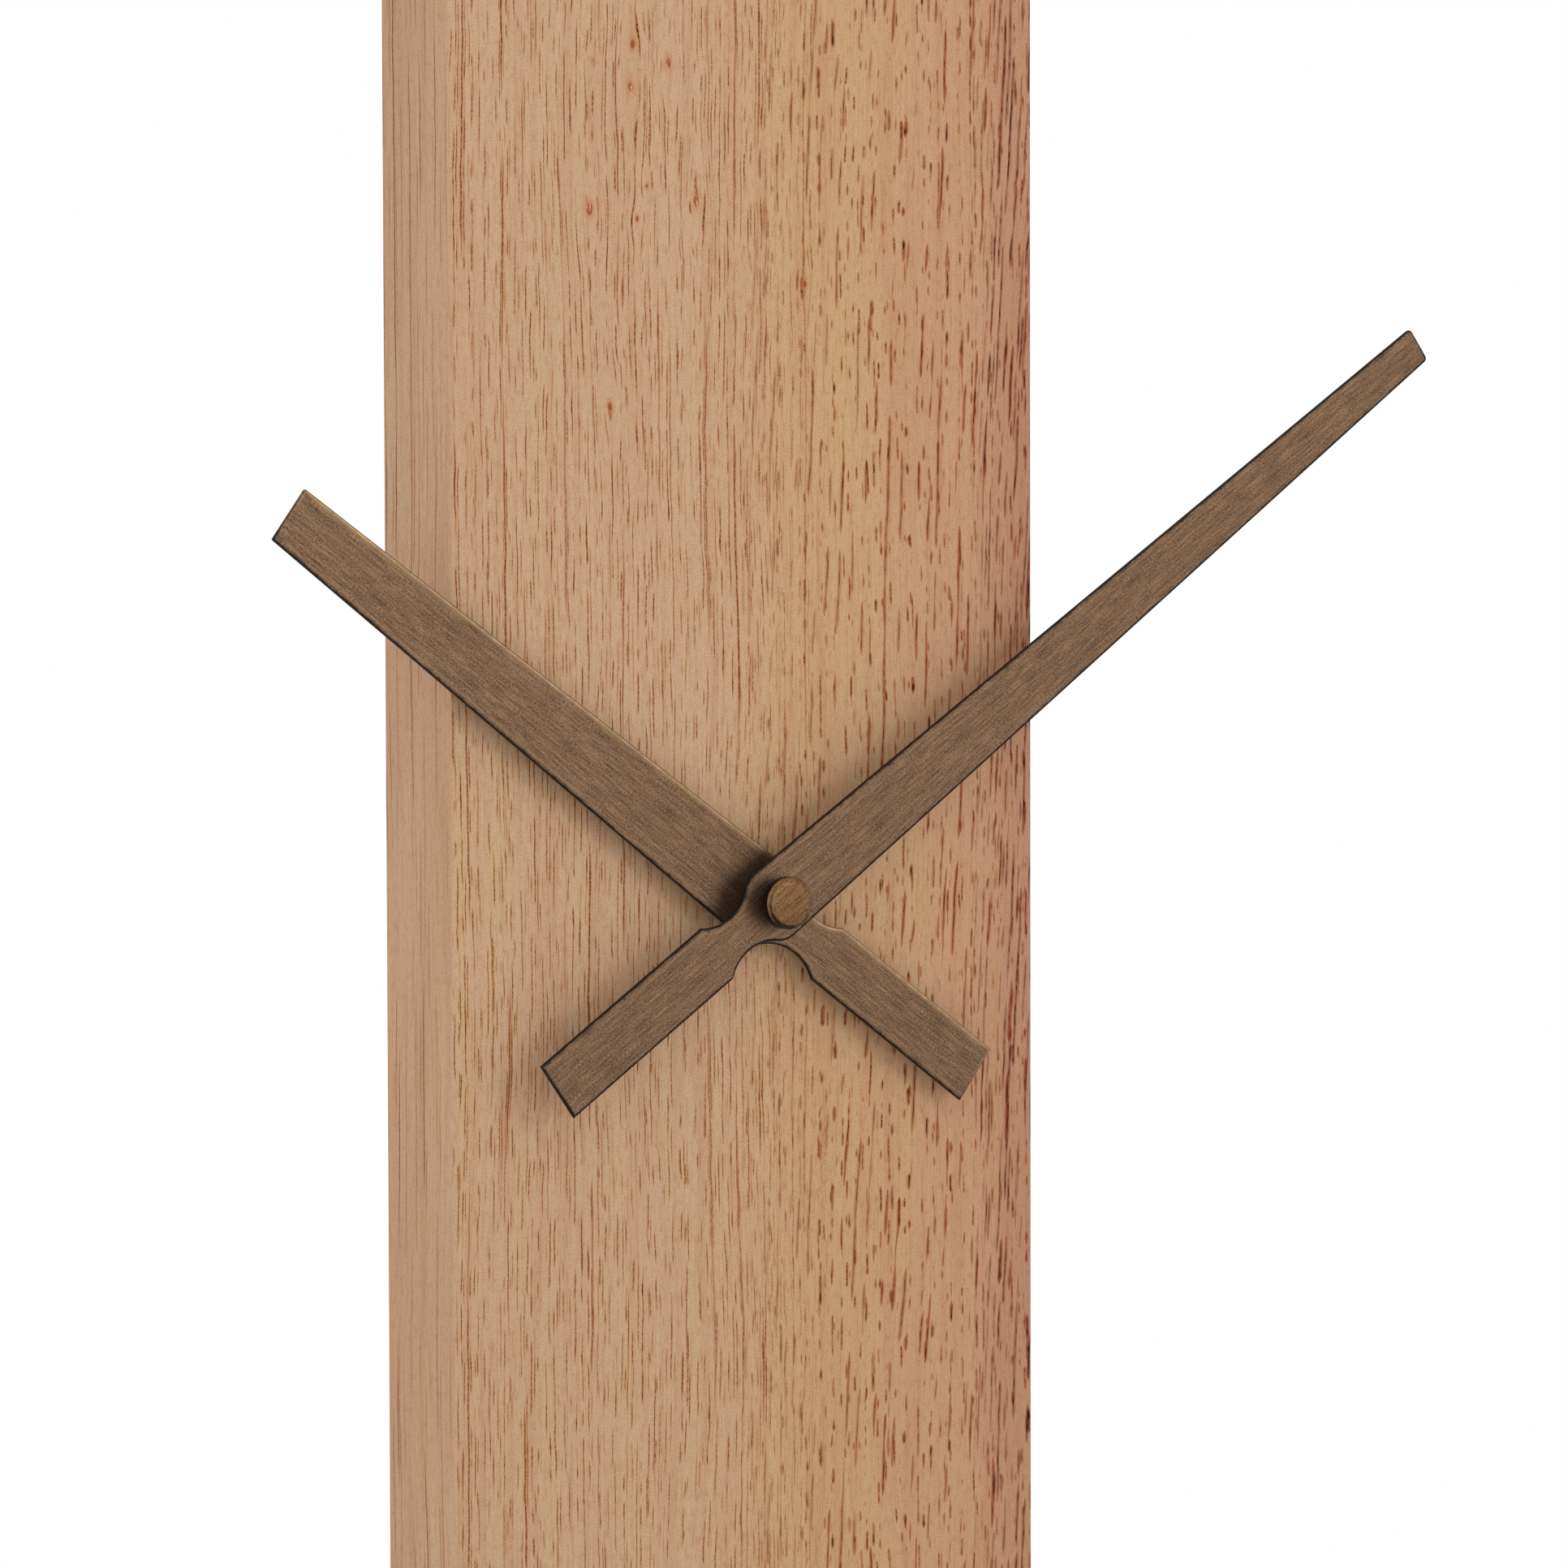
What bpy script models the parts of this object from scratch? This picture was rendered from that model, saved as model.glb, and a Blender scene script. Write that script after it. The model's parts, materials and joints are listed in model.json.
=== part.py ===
"""Pendulum wall clock: a mitred timber body on the wall, a quartz pendulum movement, bronze hands.

The frame is in metres with +Z up. The origin is the point where the clock hangs on its wall screw:
the wall is the plane y = 0 and the clock faces -Y. Heights inside the movement and the pendulum are
given from the hand axis.
"""
import math

import bmesh
import bpy
from mathutils import Matrix, Vector

MM = 0.001
GAP = 0.3 * MM            # between pieces that touch
RUNNING_FIT = 0.05 * MM   # radial, between a shaft and its bore

# Timber body
BODY_WIDTH = 150 * MM
BODY_HEIGHT = 600 * MM
BODY_DEPTH = 30 * MM
BOARD = 9 * MM            # thickness of every board
MITRE_GAP = 0.2 * MM      # a mitred face stands back by this from the ideal mitre plane
PAD_HEIGHT = 1.5 * MM     # the pads hold the body off the wall by this
BACK_Y = -PAD_HEIGHT
FRONT_Y = BACK_Y - BODY_DEPTH
TOP_Z = 30 * MM
BOTTOM_Z = TOP_Z - BODY_HEIGHT
HALF_WIDTH = BODY_WIDTH / 2
INNER_FRONT_Y = FRONT_Y + BOARD

# Hand axis, and the distances of the hands' front faces from the timber front
AXIS_Z = TOP_Z - 240 * MM
HOUR_HAND_Y = FRONT_Y - 5.7 * MM
MINUTE_HAND_Y = FRONT_Y - 12.4 * MM
HAND_THICKNESS = 1.0 * MM
HOUR_HAND_ANGLE = math.radians(-53.5)    # clockwise from upright, seen from the front
MINUTE_HAND_ANGLE = math.radians(54.9)

# Movement: case, and the shafts through the front board
CASE_HALF_WIDTH = 28 * MM
CASE_TOP = 28 * MM
CASE_BOTTOM = -64 * MM
CASE_WALL = 1.2 * MM
POCKET_DEPTH = 4.5 * MM
POCKET_MARGIN = 3 * MM
POCKET_FLOOR_Y = INNER_FRONT_Y - POCKET_DEPTH
CASE_FRONT_Y = POCKET_FLOOR_Y + 1.2 * MM
CASE_RIM_Y = CASE_FRONT_Y + 14.4 * MM
COVER_FRONT_Y = CASE_RIM_Y + GAP
COVER_BACK_Y = COVER_FRONT_Y + CASE_WALL
CASE_INNER_Y = CASE_FRONT_Y + CASE_WALL
PIVOT_FRONT_Y = CASE_INNER_Y - 0.4 * MM
PIVOT_BACK_Y = COVER_FRONT_Y + 0.5 * MM
PIVOT_RADIUS = 0.45 * MM
BUSH_RADIUS = 4.0 * MM
HOUR_TUBE_RADIUS = 2.55 * MM
MINUTE_SHAFT_RADIUS = 1.75 * MM
MINUTE_TIP_RADIUS = 1.4 * MM
CAP_COLLAR = 2.7 * MM           # height of the collar under the closed nut's head
CAP_BORE = 1.2 * MM             # depth of its bore inside the head
STUD_RADIUS = 0.6 * MM

# Gear train: tooth counts, with the module worked out from the centre distances
TRAIN_DISTANCE = 9.45 * MM      # axis to the third wheel, and axis to the intermediate wheel
ROTOR_DISTANCE = 6.48 * MM
MOTION_DISTANCE = 8.0 * MM      # axis to the minute wheel, and minute wheel to the setting knob
CENTRE_TEETH = 64
THIRD_TEETH = 60
FOURTH_TEETH = 60
INTERMEDIATE_TEETH = 40
HOUR_TEETH = 40
MINUTE_TEETH = 36
PINION_8 = 8
PINION_10 = 10
PINION_12 = 12
ADDENDUM = 0.65                 # in modules
DEDENDUM = 1.1

THIRD_DIRECTION = math.radians(150)
INTERMEDIATE_DIRECTION = math.radians(75)
ROTOR_DIRECTION = math.radians(30)      # from the intermediate wheel
MINUTE_WHEEL_DIRECTION = math.radians(330)
KNOB_DIRECTION = math.radians(40)       # from the minute wheel

# Battery bay
BATTERY_Z = -19.5 * MM
BATTERY_Y = -17.3 * MM
BATTERY_RADIUS = 7.1 * MM

# Pendulum
LEVER_PIVOT_Z = -33 * MM
LEVER_PIN_HOLE = 1.3 * MM     # radius
MAGNET_Z = -50 * MM
HOOK_Z = -69 * MM
ROD_Y = -14.2 * MM
ROD_RADIUS = 1.5 * MM
ROD_TOP_Z = -78.3 * MM
ROD_END_Z = -457 * MM
SLOT_HALF_WIDTH = 42 * MM
BOB_Z = -427 * MM
BOB_RADIUS = 42.5 * MM
BOB_SHELL = 1.0 * MM
BOB_SEGMENTS = 36

# Hanger
RAIL_HALF_HEIGHT = 17 * MM
HANGER_SCREW_X = 22 * MM
KEYHOLE_RADIUS = 4.75 * MM
KEYHOLE_SLOT_RADIUS = 2.3 * MM


def clear_scene():
    """Empty the scene, so that the script builds the same model each time it is run."""
    for obj in list(bpy.data.objects):
        bpy.data.objects.remove(obj, do_unlink=True)


def material(name, colour, roughness, metallic=0.0):
    """A Principled material with one colour."""
    mat = bpy.data.materials.get(name)
    if mat is None:
        mat = bpy.data.materials.new(name)
    mat.use_nodes = True
    shader = mat.node_tree.nodes["Principled BSDF"]
    shader.inputs["Base Color"].default_value = (*colour, 1.0)
    shader.inputs["Roughness"].default_value = roughness
    shader.inputs["Metallic"].default_value = metallic
    return mat


def timber():
    return material("timber", (0.52, 0.33, 0.20), 0.55)


def end_timber():
    return material("end_timber", (0.42, 0.26, 0.15), 0.6)


def bronze():
    return material("antique_bronze", (0.17, 0.125, 0.085), 0.42, 0.8)


def brass():
    return material("brass", (0.70, 0.52, 0.24), 0.3, 1.0)


def steel():
    return material("steel", (0.55, 0.56, 0.57), 0.35, 1.0)


def case_plastic():
    return material("case_plastic", (0.03, 0.03, 0.032), 0.45)


def wheel_plastic():
    return material("wheel_plastic", (0.82, 0.80, 0.74), 0.4)


def rubber():
    return material("rubber", (0.02, 0.02, 0.02), 0.8)


def felt():
    return material("felt", (0.16, 0.11, 0.08), 0.95)


def board_green():
    return material("board_green", (0.03, 0.17, 0.07), 0.45)


def copper():
    return material("copper", (0.72, 0.30, 0.15), 0.35, 1.0)


def magnet_grey():
    return material("magnet_grey", (0.12, 0.12, 0.13), 0.4, 0.7)


def battery_sleeve():
    return material("battery_sleeve", (0.09, 0.10, 0.12), 0.35)


# Basic shapes. Each returns a bmesh in the local frame of the object that it becomes part of.

def box(x_range, y_range, z_range):
    """A block between two corners."""
    bm = bmesh.new()
    size = [high - low for low, high in (x_range, y_range, z_range)]
    centre = [(high + low) / 2 for low, high in (x_range, y_range, z_range)]
    bmesh.ops.create_cube(bm, size=1.0)
    bmesh.ops.scale(bm, vec=size, verts=bm.verts)
    bmesh.ops.translate(bm, vec=centre, verts=bm.verts)
    return bm


def loft(first, second):
    """A solid between two facing loops of 3-D points with the same count."""
    bm = bmesh.new()
    ring_a = [bm.verts.new(point) for point in first]
    ring_b = [bm.verts.new(point) for point in second]
    bm.faces.new(ring_a)
    bm.faces.new(ring_b)
    count = len(ring_a)
    for i in range(count):
        j = (i + 1) % count
        bm.faces.new((ring_a[i], ring_a[j], ring_b[j], ring_b[i]))
    bmesh.ops.recalc_face_normals(bm, faces=bm.faces)
    return bm


def prism(outline, y_front, y_back):
    """An (x, z) outline carried straight back along Y."""
    bm = bmesh.new()
    face = bm.faces.new([bm.verts.new((x, y_front, z)) for x, z in outline])
    swept = bmesh.ops.extrude_face_region(bm, geom=[face])["geom"]
    verts = [item for item in swept if isinstance(item, bmesh.types.BMVert)]
    bmesh.ops.translate(bm, vec=(0, y_back - y_front, 0), verts=verts)
    bmesh.ops.recalc_face_normals(bm, faces=bm.faces)
    return bm


def circle(radius, segments, x=0.0, z=0.0):
    """An (x, z) outline of a circle."""
    steps = [2 * math.pi * i / segments for i in range(segments)]
    return [(x + radius * math.cos(a), z + radius * math.sin(a)) for a in steps]


def disc(radius, y_front, y_back, segments=20, x=0.0, z=0.0):
    """A cylinder along Y."""
    return prism(circle(radius, segments, x, z), y_front, y_back)


def turned(profile, segments=20):
    """A piece turned about the Y axis from a closed (radius, y) profile.

    A point with radius 0 lies on the axis, and the profile then closes along it.
    """
    bm = bmesh.new()
    rings = []
    for radius, y in profile:
        if radius == 0:
            rings.append([bm.verts.new((0, y, 0))])
        else:
            rings.append([bm.verts.new((x, y, z)) for x, z in circle(radius, segments)])
    for ring_a, ring_b in zip(rings, rings[1:] + rings[:1]):
        if len(ring_a) == 1 and len(ring_b) == 1:
            continue
        for i in range(segments):
            j = (i + 1) % segments
            corners = [ring_a[i % len(ring_a)], ring_a[j % len(ring_a)]]
            corners += [ring_b[j % len(ring_b)], ring_b[i % len(ring_b)]]
            bm.faces.new(list(dict.fromkeys(corners)))
    bmesh.ops.recalc_face_normals(bm, faces=bm.faces)
    return bm


def along_x(bm, y, z):
    """Turn a piece made about Y so that it runs along X through (y, z)."""
    turn = Matrix.Rotation(math.radians(-90), 4, "Z")
    bmesh.ops.transform(bm, matrix=Matrix.Translation((0, y, z)) @ turn, verts=bm.verts)
    return bm


def along_z(bm, x, y):
    """Turn a piece made about Y so that it runs along Z through (x, y)."""
    turn = Matrix.Rotation(math.radians(90), 4, "X")
    bmesh.ops.transform(bm, matrix=Matrix.Translation((x, y, 0)) @ turn, verts=bm.verts)
    return bm


def moved(bm, x=0.0, y=0.0, z=0.0):
    bmesh.ops.translate(bm, vec=(x, y, z), verts=bm.verts)
    return bm


def make_object(name, bm, mat, place, angle):
    """Put a bmesh into a new object, at a place and turned clockwise about Y."""
    mesh = bpy.data.meshes.new(name)
    bm.to_mesh(mesh)
    bm.free()
    obj = bpy.data.objects.new(name, mesh)
    bpy.context.scene.collection.objects.link(obj)
    obj.location = place
    obj.rotation_euler = (0, angle, 0)
    obj.data.materials.append(mat)
    return obj


def smooth_round_faces(obj):
    obj.data.shade_smooth()
    obj.data.set_sharp_from_angle(angle=math.radians(35))


def solid(name, mat, adds, cuts=(), place=(0, 0, 0), angle=0.0, smooth=False, bosses=()):
    """One piece: the first shape with the others joined to it, the cuts taken out, then any bosses."""
    obj = make_object(name, adds[0], mat, place, angle)
    if smooth:
        smooth_round_faces(obj)
    tools = [(bm, "UNION") for bm in adds[1:]]
    tools += [(bm, "DIFFERENCE") for bm in cuts]
    tools += [(bm, "UNION") for bm in bosses]
    for number, (bm, operation) in enumerate(tools):
        tool = make_object(f"{name}_tool_{number}", bm, mat, place, angle)
        tool.hide_render = True
        tool.display_type = "WIRE"
        if smooth:
            smooth_round_faces(tool)
        step = obj.modifiers.new(f"{operation.lower()}_{number}", "BOOLEAN")
        step.operation = operation
        step.solver = "EXACT"
        step.object = tool
    return obj


# Gears

def gear_outline(teeth, pitch_radius, phase=0.0):
    """Pointed teeth, thin enough at the pitch circle to run with backlash."""
    module = 2 * pitch_radius / teeth
    tip = pitch_radius + ADDENDUM * module
    root = pitch_radius - DEDENDUM * module
    points = []
    for step in range(2 * teeth):
        angle = phase + math.pi * step / teeth
        radius = root if step % 2 else tip
        points.append((radius * math.cos(angle), radius * math.sin(angle)))
    return points


def meshing_phase(teeth_a, phase_a, teeth_b, direction):
    """The phase that puts a gap of gear B on a tooth of gear A. B lies in a direction from A."""
    turned_by = teeth_a / teeth_b * (phase_a - direction)
    return direction + math.pi - turned_by - math.pi / teeth_b


def split_radii(distance, teeth_a, teeth_b):
    """Pitch radii of two meshing gears at a centre distance."""
    return distance * teeth_a / (teeth_a + teeth_b), distance * teeth_b / (teeth_a + teeth_b)


def polar(distance, direction):
    return Vector((distance * math.cos(direction), 0, distance * math.sin(direction)))


AXIS = Vector((0, 0, AXIS_Z))
THIRD_AT = AXIS + polar(TRAIN_DISTANCE, THIRD_DIRECTION)
INTERMEDIATE_AT = AXIS + polar(TRAIN_DISTANCE, INTERMEDIATE_DIRECTION)
ROTOR_AT = INTERMEDIATE_AT + polar(ROTOR_DISTANCE, ROTOR_DIRECTION)
MINUTE_WHEEL_AT = AXIS + polar(MOTION_DISTANCE, MINUTE_WHEEL_DIRECTION)
KNOB_AT = MINUTE_WHEEL_AT + polar(MOTION_DISTANCE, KNOB_DIRECTION)

THIRD_PINION_R, CENTRE_R = split_radii(TRAIN_DISTANCE, PINION_8, CENTRE_TEETH)
FOURTH_PINION_R, THIRD_R = split_radii(TRAIN_DISTANCE, PINION_8, THIRD_TEETH)
INTERMEDIATE_PINION_R, FOURTH_R = split_radii(TRAIN_DISTANCE, PINION_10, FOURTH_TEETH)
ROTOR_PINION_R, INTERMEDIATE_R = split_radii(ROTOR_DISTANCE, PINION_8, INTERMEDIATE_TEETH)
MINUTE_PINION_R, MINUTE_R = split_radii(MOTION_DISTANCE, PINION_12, MINUTE_TEETH)
MOTION_PINION_R, HOUR_R = split_radii(MOTION_DISTANCE, PINION_10, HOUR_TEETH)


# Timber body

def front_loop(inset, y):
    """The rectangle of the body seen from the front, drawn in by an inset, at a depth."""
    x = HALF_WIDTH - inset
    top = TOP_Z - inset
    bottom = BOTTOM_Z + inset
    return [(-x, y, bottom), (x, y, bottom), (x, y, top), (-x, y, top)]


def build_front_panel():
    board = loft(front_loop(MITRE_GAP, FRONT_Y), front_loop(BOARD + MITRE_GAP, INNER_FRONT_Y))
    reach = CASE_HALF_WIDTH + POCKET_MARGIN
    low = AXIS_Z + CASE_BOTTOM - POCKET_MARGIN
    high = AXIS_Z + CASE_TOP + POCKET_MARGIN
    pocket = box((-reach, reach), (POCKET_FLOOR_Y, INNER_FRONT_Y + MM), (low, high))
    hole = disc(BUSH_RADIUS + GAP, FRONT_Y - MM, POCKET_FLOOR_Y + MM, z=AXIS_Z)
    solid("front_panel", timber(), [board], [pocket, hole])


def side_loop(side, inset):
    """The edge loop of a side board: mitred at the front, the top and the bottom."""
    x = side * (HALF_WIDTH - inset)
    front = FRONT_Y + inset + MITRE_GAP
    top = TOP_Z - inset - MITRE_GAP
    bottom = BOTTOM_Z + inset + MITRE_GAP
    return [(x, front, bottom), (x, BACK_Y, bottom), (x, BACK_Y, top), (x, front, top)]


def build_sides():
    for name, side in (("left_side", -1), ("right_side", 1)):
        solid(name, timber(), [loft(side_loop(side, 0), side_loop(side, BOARD))])


def end_loop(edge_z, inward, inset):
    """The edge loop of an end board, mitred at the front, the left and the right."""
    x = HALF_WIDTH - inset - MITRE_GAP
    front = FRONT_Y + inset + MITRE_GAP
    z = edge_z + inward * inset
    return [(-x, front, z), (x, front, z), (x, BACK_Y, z), (-x, BACK_Y, z)]


def build_ends():
    top = loft(end_loop(TOP_Z, -1, 0), end_loop(TOP_Z, -1, BOARD))
    solid("top_end", end_timber(), [top])
    bottom = loft(end_loop(BOTTOM_Z, 1, 0), end_loop(BOTTOM_Z, 1, BOARD))
    slot_y = (ROD_Y - ROD_RADIUS - 3 * MM, BACK_Y + MM)
    slot_z = (BOTTOM_Z - MM, BOTTOM_Z + BOARD + MM)
    slot = box((-SLOT_HALF_WIDTH, SLOT_HALF_WIDTH), slot_y, slot_z)
    solid("bottom_end", end_timber(), [bottom], [slot])


def build_hanger():
    """A cross rail between the sides, and a keyhole plate whose slot ends at the origin."""
    plate_y = (BACK_Y - 0.9 * MM, BACK_Y + 0.6 * MM)
    rail_back = plate_y[0] - GAP
    reach = HALF_WIDTH - BOARD - GAP
    rail = box((-reach, reach), (rail_back - 13 * MM, rail_back), (-RAIL_HALF_HEIGHT, RAIL_HALF_HEIGHT))
    recess = box((-8 * MM, 8 * MM), (rail_back - 8 * MM, rail_back + MM), (-15.5 * MM, 7 * MM))
    pilots = []
    for side in (-1, 1):
        pilots.append(disc(1.6 * MM + GAP, rail_back - 10 * MM, rail_back + MM, 12, x=side * HANGER_SCREW_X))
    solid("hanger_rail", timber(), [rail], [recess] + pilots)

    plate = box((-30 * MM, 30 * MM), plate_y, (-16 * MM, 10 * MM))
    through = (plate_y[0] - MM, plate_y[1] + MM)
    cuts = [disc(KEYHOLE_RADIUS, *through, z=-9 * MM)]
    cuts.append(disc(KEYHOLE_SLOT_RADIUS, *through, 16, z=-KEYHOLE_SLOT_RADIUS))
    cuts.append(box((-KEYHOLE_SLOT_RADIUS, KEYHOLE_SLOT_RADIUS), through, (-9 * MM, -KEYHOLE_SLOT_RADIUS)))
    for side in (-1, 1):
        cuts.append(disc(3.5 * MM, *through, 16, x=side * HANGER_SCREW_X))
    solid("hanger_plate", steel(), [plate], cuts)

    head = plate_y[1] - 0.1 * MM
    profile = [(0, head), (3.2 * MM, head), (1.6 * MM, head - 1.6 * MM)]
    profile += [(1.6 * MM, head - 9 * MM), (0, head - 10.5 * MM)]
    for name, side in (("hanger_screw_left", -1), ("hanger_screw_right", 1)):
        cross = [box((-2 * MM, 2 * MM), (head - 0.8 * MM, head + MM), (-0.35 * MM, 0.35 * MM))]
        cross.append(box((-0.35 * MM, 0.35 * MM), (head - 0.8 * MM, head + MM), (-2 * MM, 2 * MM)))
        place = (side * HANGER_SCREW_X, 0, 0)
        solid(name, steel(), [turned(profile, 16)], cross, place, smooth=True)


def build_wall_pads():
    for row, z in (("upper", TOP_Z - 15 * MM), ("lower", BOTTOM_Z + 20 * MM)):
        for column, side in (("left", -1), ("right", 1)):
            pad = disc(3.5 * MM, BACK_Y + GAP, 0, 20)
            place = (side * (HALF_WIDTH - BOARD / 2), 0, z)
            solid(f"wall_pad_{row}_{column}", felt(), [pad], place=place, smooth=True)


# Movement

def build_case():
    """The case is open at the back. Two ribs part the train, the battery bay and the pendulum drive."""
    outer = box((-CASE_HALF_WIDTH, CASE_HALF_WIDTH), (CASE_FRONT_Y, CASE_RIM_Y), (CASE_BOTTOM, CASE_TOP))
    inner_x = CASE_HALF_WIDTH - CASE_WALL
    bays = [(-10.9 * MM, CASE_TOP - CASE_WALL)]
    bays.append((-27.2 * MM, -11.9 * MM))
    bays.append((CASE_BOTTOM + CASE_WALL, -28.2 * MM))
    cuts = [box((-inner_x, inner_x), (CASE_INNER_Y, CASE_RIM_Y + MM), bay) for bay in bays]
    cuts.append(disc(BUSH_RADIUS + GAP, CASE_FRONT_Y - MM, CASE_INNER_Y + MM))
    depth = (CASE_INNER_Y - 0.6 * MM, CASE_INNER_Y + MM)
    for at in (THIRD_AT, INTERMEDIATE_AT, ROTOR_AT, KNOB_AT):
        cuts.append(disc(PIVOT_RADIUS + RUNNING_FIT, *depth, 10, at.x, at.z - AXIS_Z))
    cuts.append(disc(LEVER_PIN_HOLE, *depth, 12, z=LEVER_PIVOT_Z))
    notch_z = (CASE_BOTTOM - MM, CASE_BOTTOM + CASE_WALL + MM)
    cuts.append(box((-8 * MM, 8 * MM), (ROD_Y - 3 * MM, CASE_RIM_Y + MM), notch_z))
    stud_at = MINUTE_WHEEL_AT - AXIS
    stud = disc(STUD_RADIUS, CASE_INNER_Y - 0.5 * MM, CASE_INNER_Y + 4.2 * MM, 12, stud_at.x, stud_at.z)
    solid("movement_case", case_plastic(), [outer], cuts, AXIS, bosses=[stud])


def build_cover():
    plate = box((-CASE_HALF_WIDTH, CASE_HALF_WIDTH), (COVER_FRONT_Y, COVER_BACK_Y), (CASE_BOTTOM, CASE_TOP))
    through = (COVER_FRONT_Y - MM, COVER_BACK_Y + MM)
    cuts = [box((-26.2 * MM, 26.2 * MM), through, (BATTERY_Z - 7.4 * MM, BATTERY_Z + 7.4 * MM))]
    cuts.append(disc(1.5 * MM, *through, 16, KNOB_AT.x, KNOB_AT.z - AXIS_Z))
    cuts.append(disc(LEVER_PIN_HOLE, *through, 12, z=LEVER_PIVOT_Z))
    depth = (COVER_FRONT_Y - MM, COVER_FRONT_Y + 0.7 * MM)
    for at in (AXIS, THIRD_AT, INTERMEDIATE_AT, ROTOR_AT):
        cuts.append(disc(PIVOT_RADIUS + RUNNING_FIT, *depth, 10, at.x, at.z - AXIS_Z))
    solid("movement_cover", case_plastic(), [plate], cuts, AXIS)


def build_mounting():
    """The threaded bush, and the gasket, washer and nut that clamp the front board with it."""
    bore = HOUR_TUBE_RADIUS + RUNNING_FIT
    flange = (CASE_INNER_Y + GAP, CASE_INNER_Y + GAP + 0.7 * MM)
    end = FRONT_Y - 3.4 * MM
    profile = [(bore, end), (BUSH_RADIUS - 0.3 * MM, end), (BUSH_RADIUS, end + 0.3 * MM)]
    profile += [(BUSH_RADIUS, flange[0]), (6 * MM, flange[0]), (6 * MM, flange[1]), (bore, flange[1])]
    solid("mounting_bush", brass(), [turned(profile)], place=AXIS, smooth=True)

    def ring(name, mat, inner, outer, y_front, y_back):
        profile = [(inner, y_front), (outer, y_front), (outer, y_back), (inner, y_back)]
        solid(name, mat, [turned(profile)], place=AXIS, smooth=True)

    ring("mounting_gasket", rubber(), BUSH_RADIUS + GAP, 12 * MM, POCKET_FLOOR_Y + GAP, CASE_FRONT_Y - GAP)
    washer_front = FRONT_Y - GAP - 0.5 * MM
    ring("mounting_washer", brass(), BUSH_RADIUS + GAP, 6.6 * MM, washer_front, FRONT_Y - GAP)
    nut_back = washer_front - 0.2 * MM
    flats = disc(6.35 * MM, nut_back - 1.9 * MM, nut_back, 6)
    bore_cut = disc(BUSH_RADIUS + RUNNING_FIT, nut_back - 3 * MM, nut_back + MM)
    solid("mounting_nut", brass(), [flats], [bore_cut], AXIS)


def pivot(y_front, y_back, segments=10):
    return disc(PIVOT_RADIUS, y_front, y_back, segments)


def gear(teeth, radius, y_front, y_back, phase=0.0):
    return prism(gear_outline(teeth, radius, phase), y_front, y_back)


def build_train():
    """Rotor to centre wheel: 30 turns of the rotor for one of the fourth wheel, and 60 of it for one."""
    centre_y = CASE_INNER_Y + 4.7 * MM
    third_y = CASE_INNER_Y + 7.0 * MM
    fourth_y = CASE_INNER_Y + 9.4 * MM
    intermediate_y = CASE_INNER_Y + 11.2 * MM
    thin = 0.8 * MM

    third_pinion_phase = meshing_phase(CENTRE_TEETH, 0, PINION_8, THIRD_DIRECTION)
    fourth_pinion_phase = meshing_phase(THIRD_TEETH, 0, PINION_8, THIRD_DIRECTION + math.pi)
    intermediate_pinion_phase = meshing_phase(FOURTH_TEETH, 0, PINION_10, INTERMEDIATE_DIRECTION)
    rotor_pinion_phase = meshing_phase(INTERMEDIATE_TEETH, 0, PINION_8, ROTOR_DIRECTION)

    wheel = gear(CENTRE_TEETH, CENTRE_R, centre_y, centre_y + thin)
    hub = disc(2.6 * MM, centre_y - 0.5 * MM, centre_y + 1.2 * MM, 20)
    bore = disc(1.5 * MM + RUNNING_FIT, centre_y - MM, centre_y + 2 * MM, 20)
    solid("centre_wheel", wheel_plastic(), [wheel, hub], [bore], AXIS)

    wheel = gear(THIRD_TEETH, THIRD_R, third_y, third_y + thin)
    pinion = gear(PINION_8, THIRD_PINION_R, centre_y - 0.3 * MM, third_y + 0.2 * MM, third_pinion_phase)
    solid("third_wheel", wheel_plastic(), [wheel, pinion, pivot(PIVOT_FRONT_Y, PIVOT_BACK_Y)], place=THIRD_AT)

    wheel = gear(FOURTH_TEETH, FOURTH_R, fourth_y, fourth_y + thin)
    pinion = gear(PINION_8, FOURTH_PINION_R, third_y - 0.3 * MM, fourth_y + 0.2 * MM, fourth_pinion_phase)
    arbor = pivot(third_y - 1.4 * MM, PIVOT_BACK_Y)
    solid("fourth_wheel", wheel_plastic(), [wheel, pinion, arbor], place=AXIS)

    wheel = gear(INTERMEDIATE_TEETH, INTERMEDIATE_R, intermediate_y, intermediate_y + thin)
    pinion = gear(PINION_10, INTERMEDIATE_PINION_R, fourth_y - 0.3 * MM, intermediate_y + 0.2 * MM,
                  intermediate_pinion_phase)
    arbor = pivot(PIVOT_FRONT_Y, PIVOT_BACK_Y)
    solid("intermediate_wheel", wheel_plastic(), [wheel, pinion, arbor], place=INTERMEDIATE_AT)

    magnet = disc(3 * MM, CASE_INNER_Y + 5.2 * MM, CASE_INNER_Y + 9.0 * MM, 20)
    pinion = gear(PINION_8, ROTOR_PINION_R, CASE_INNER_Y + 8.8 * MM, intermediate_y + 1.1 * MM,
                  rotor_pinion_phase)
    arbor = pivot(PIVOT_FRONT_Y, PIVOT_BACK_Y)
    solid("rotor", magnet_grey(), [magnet, pinion, arbor], place=ROTOR_AT)


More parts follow.
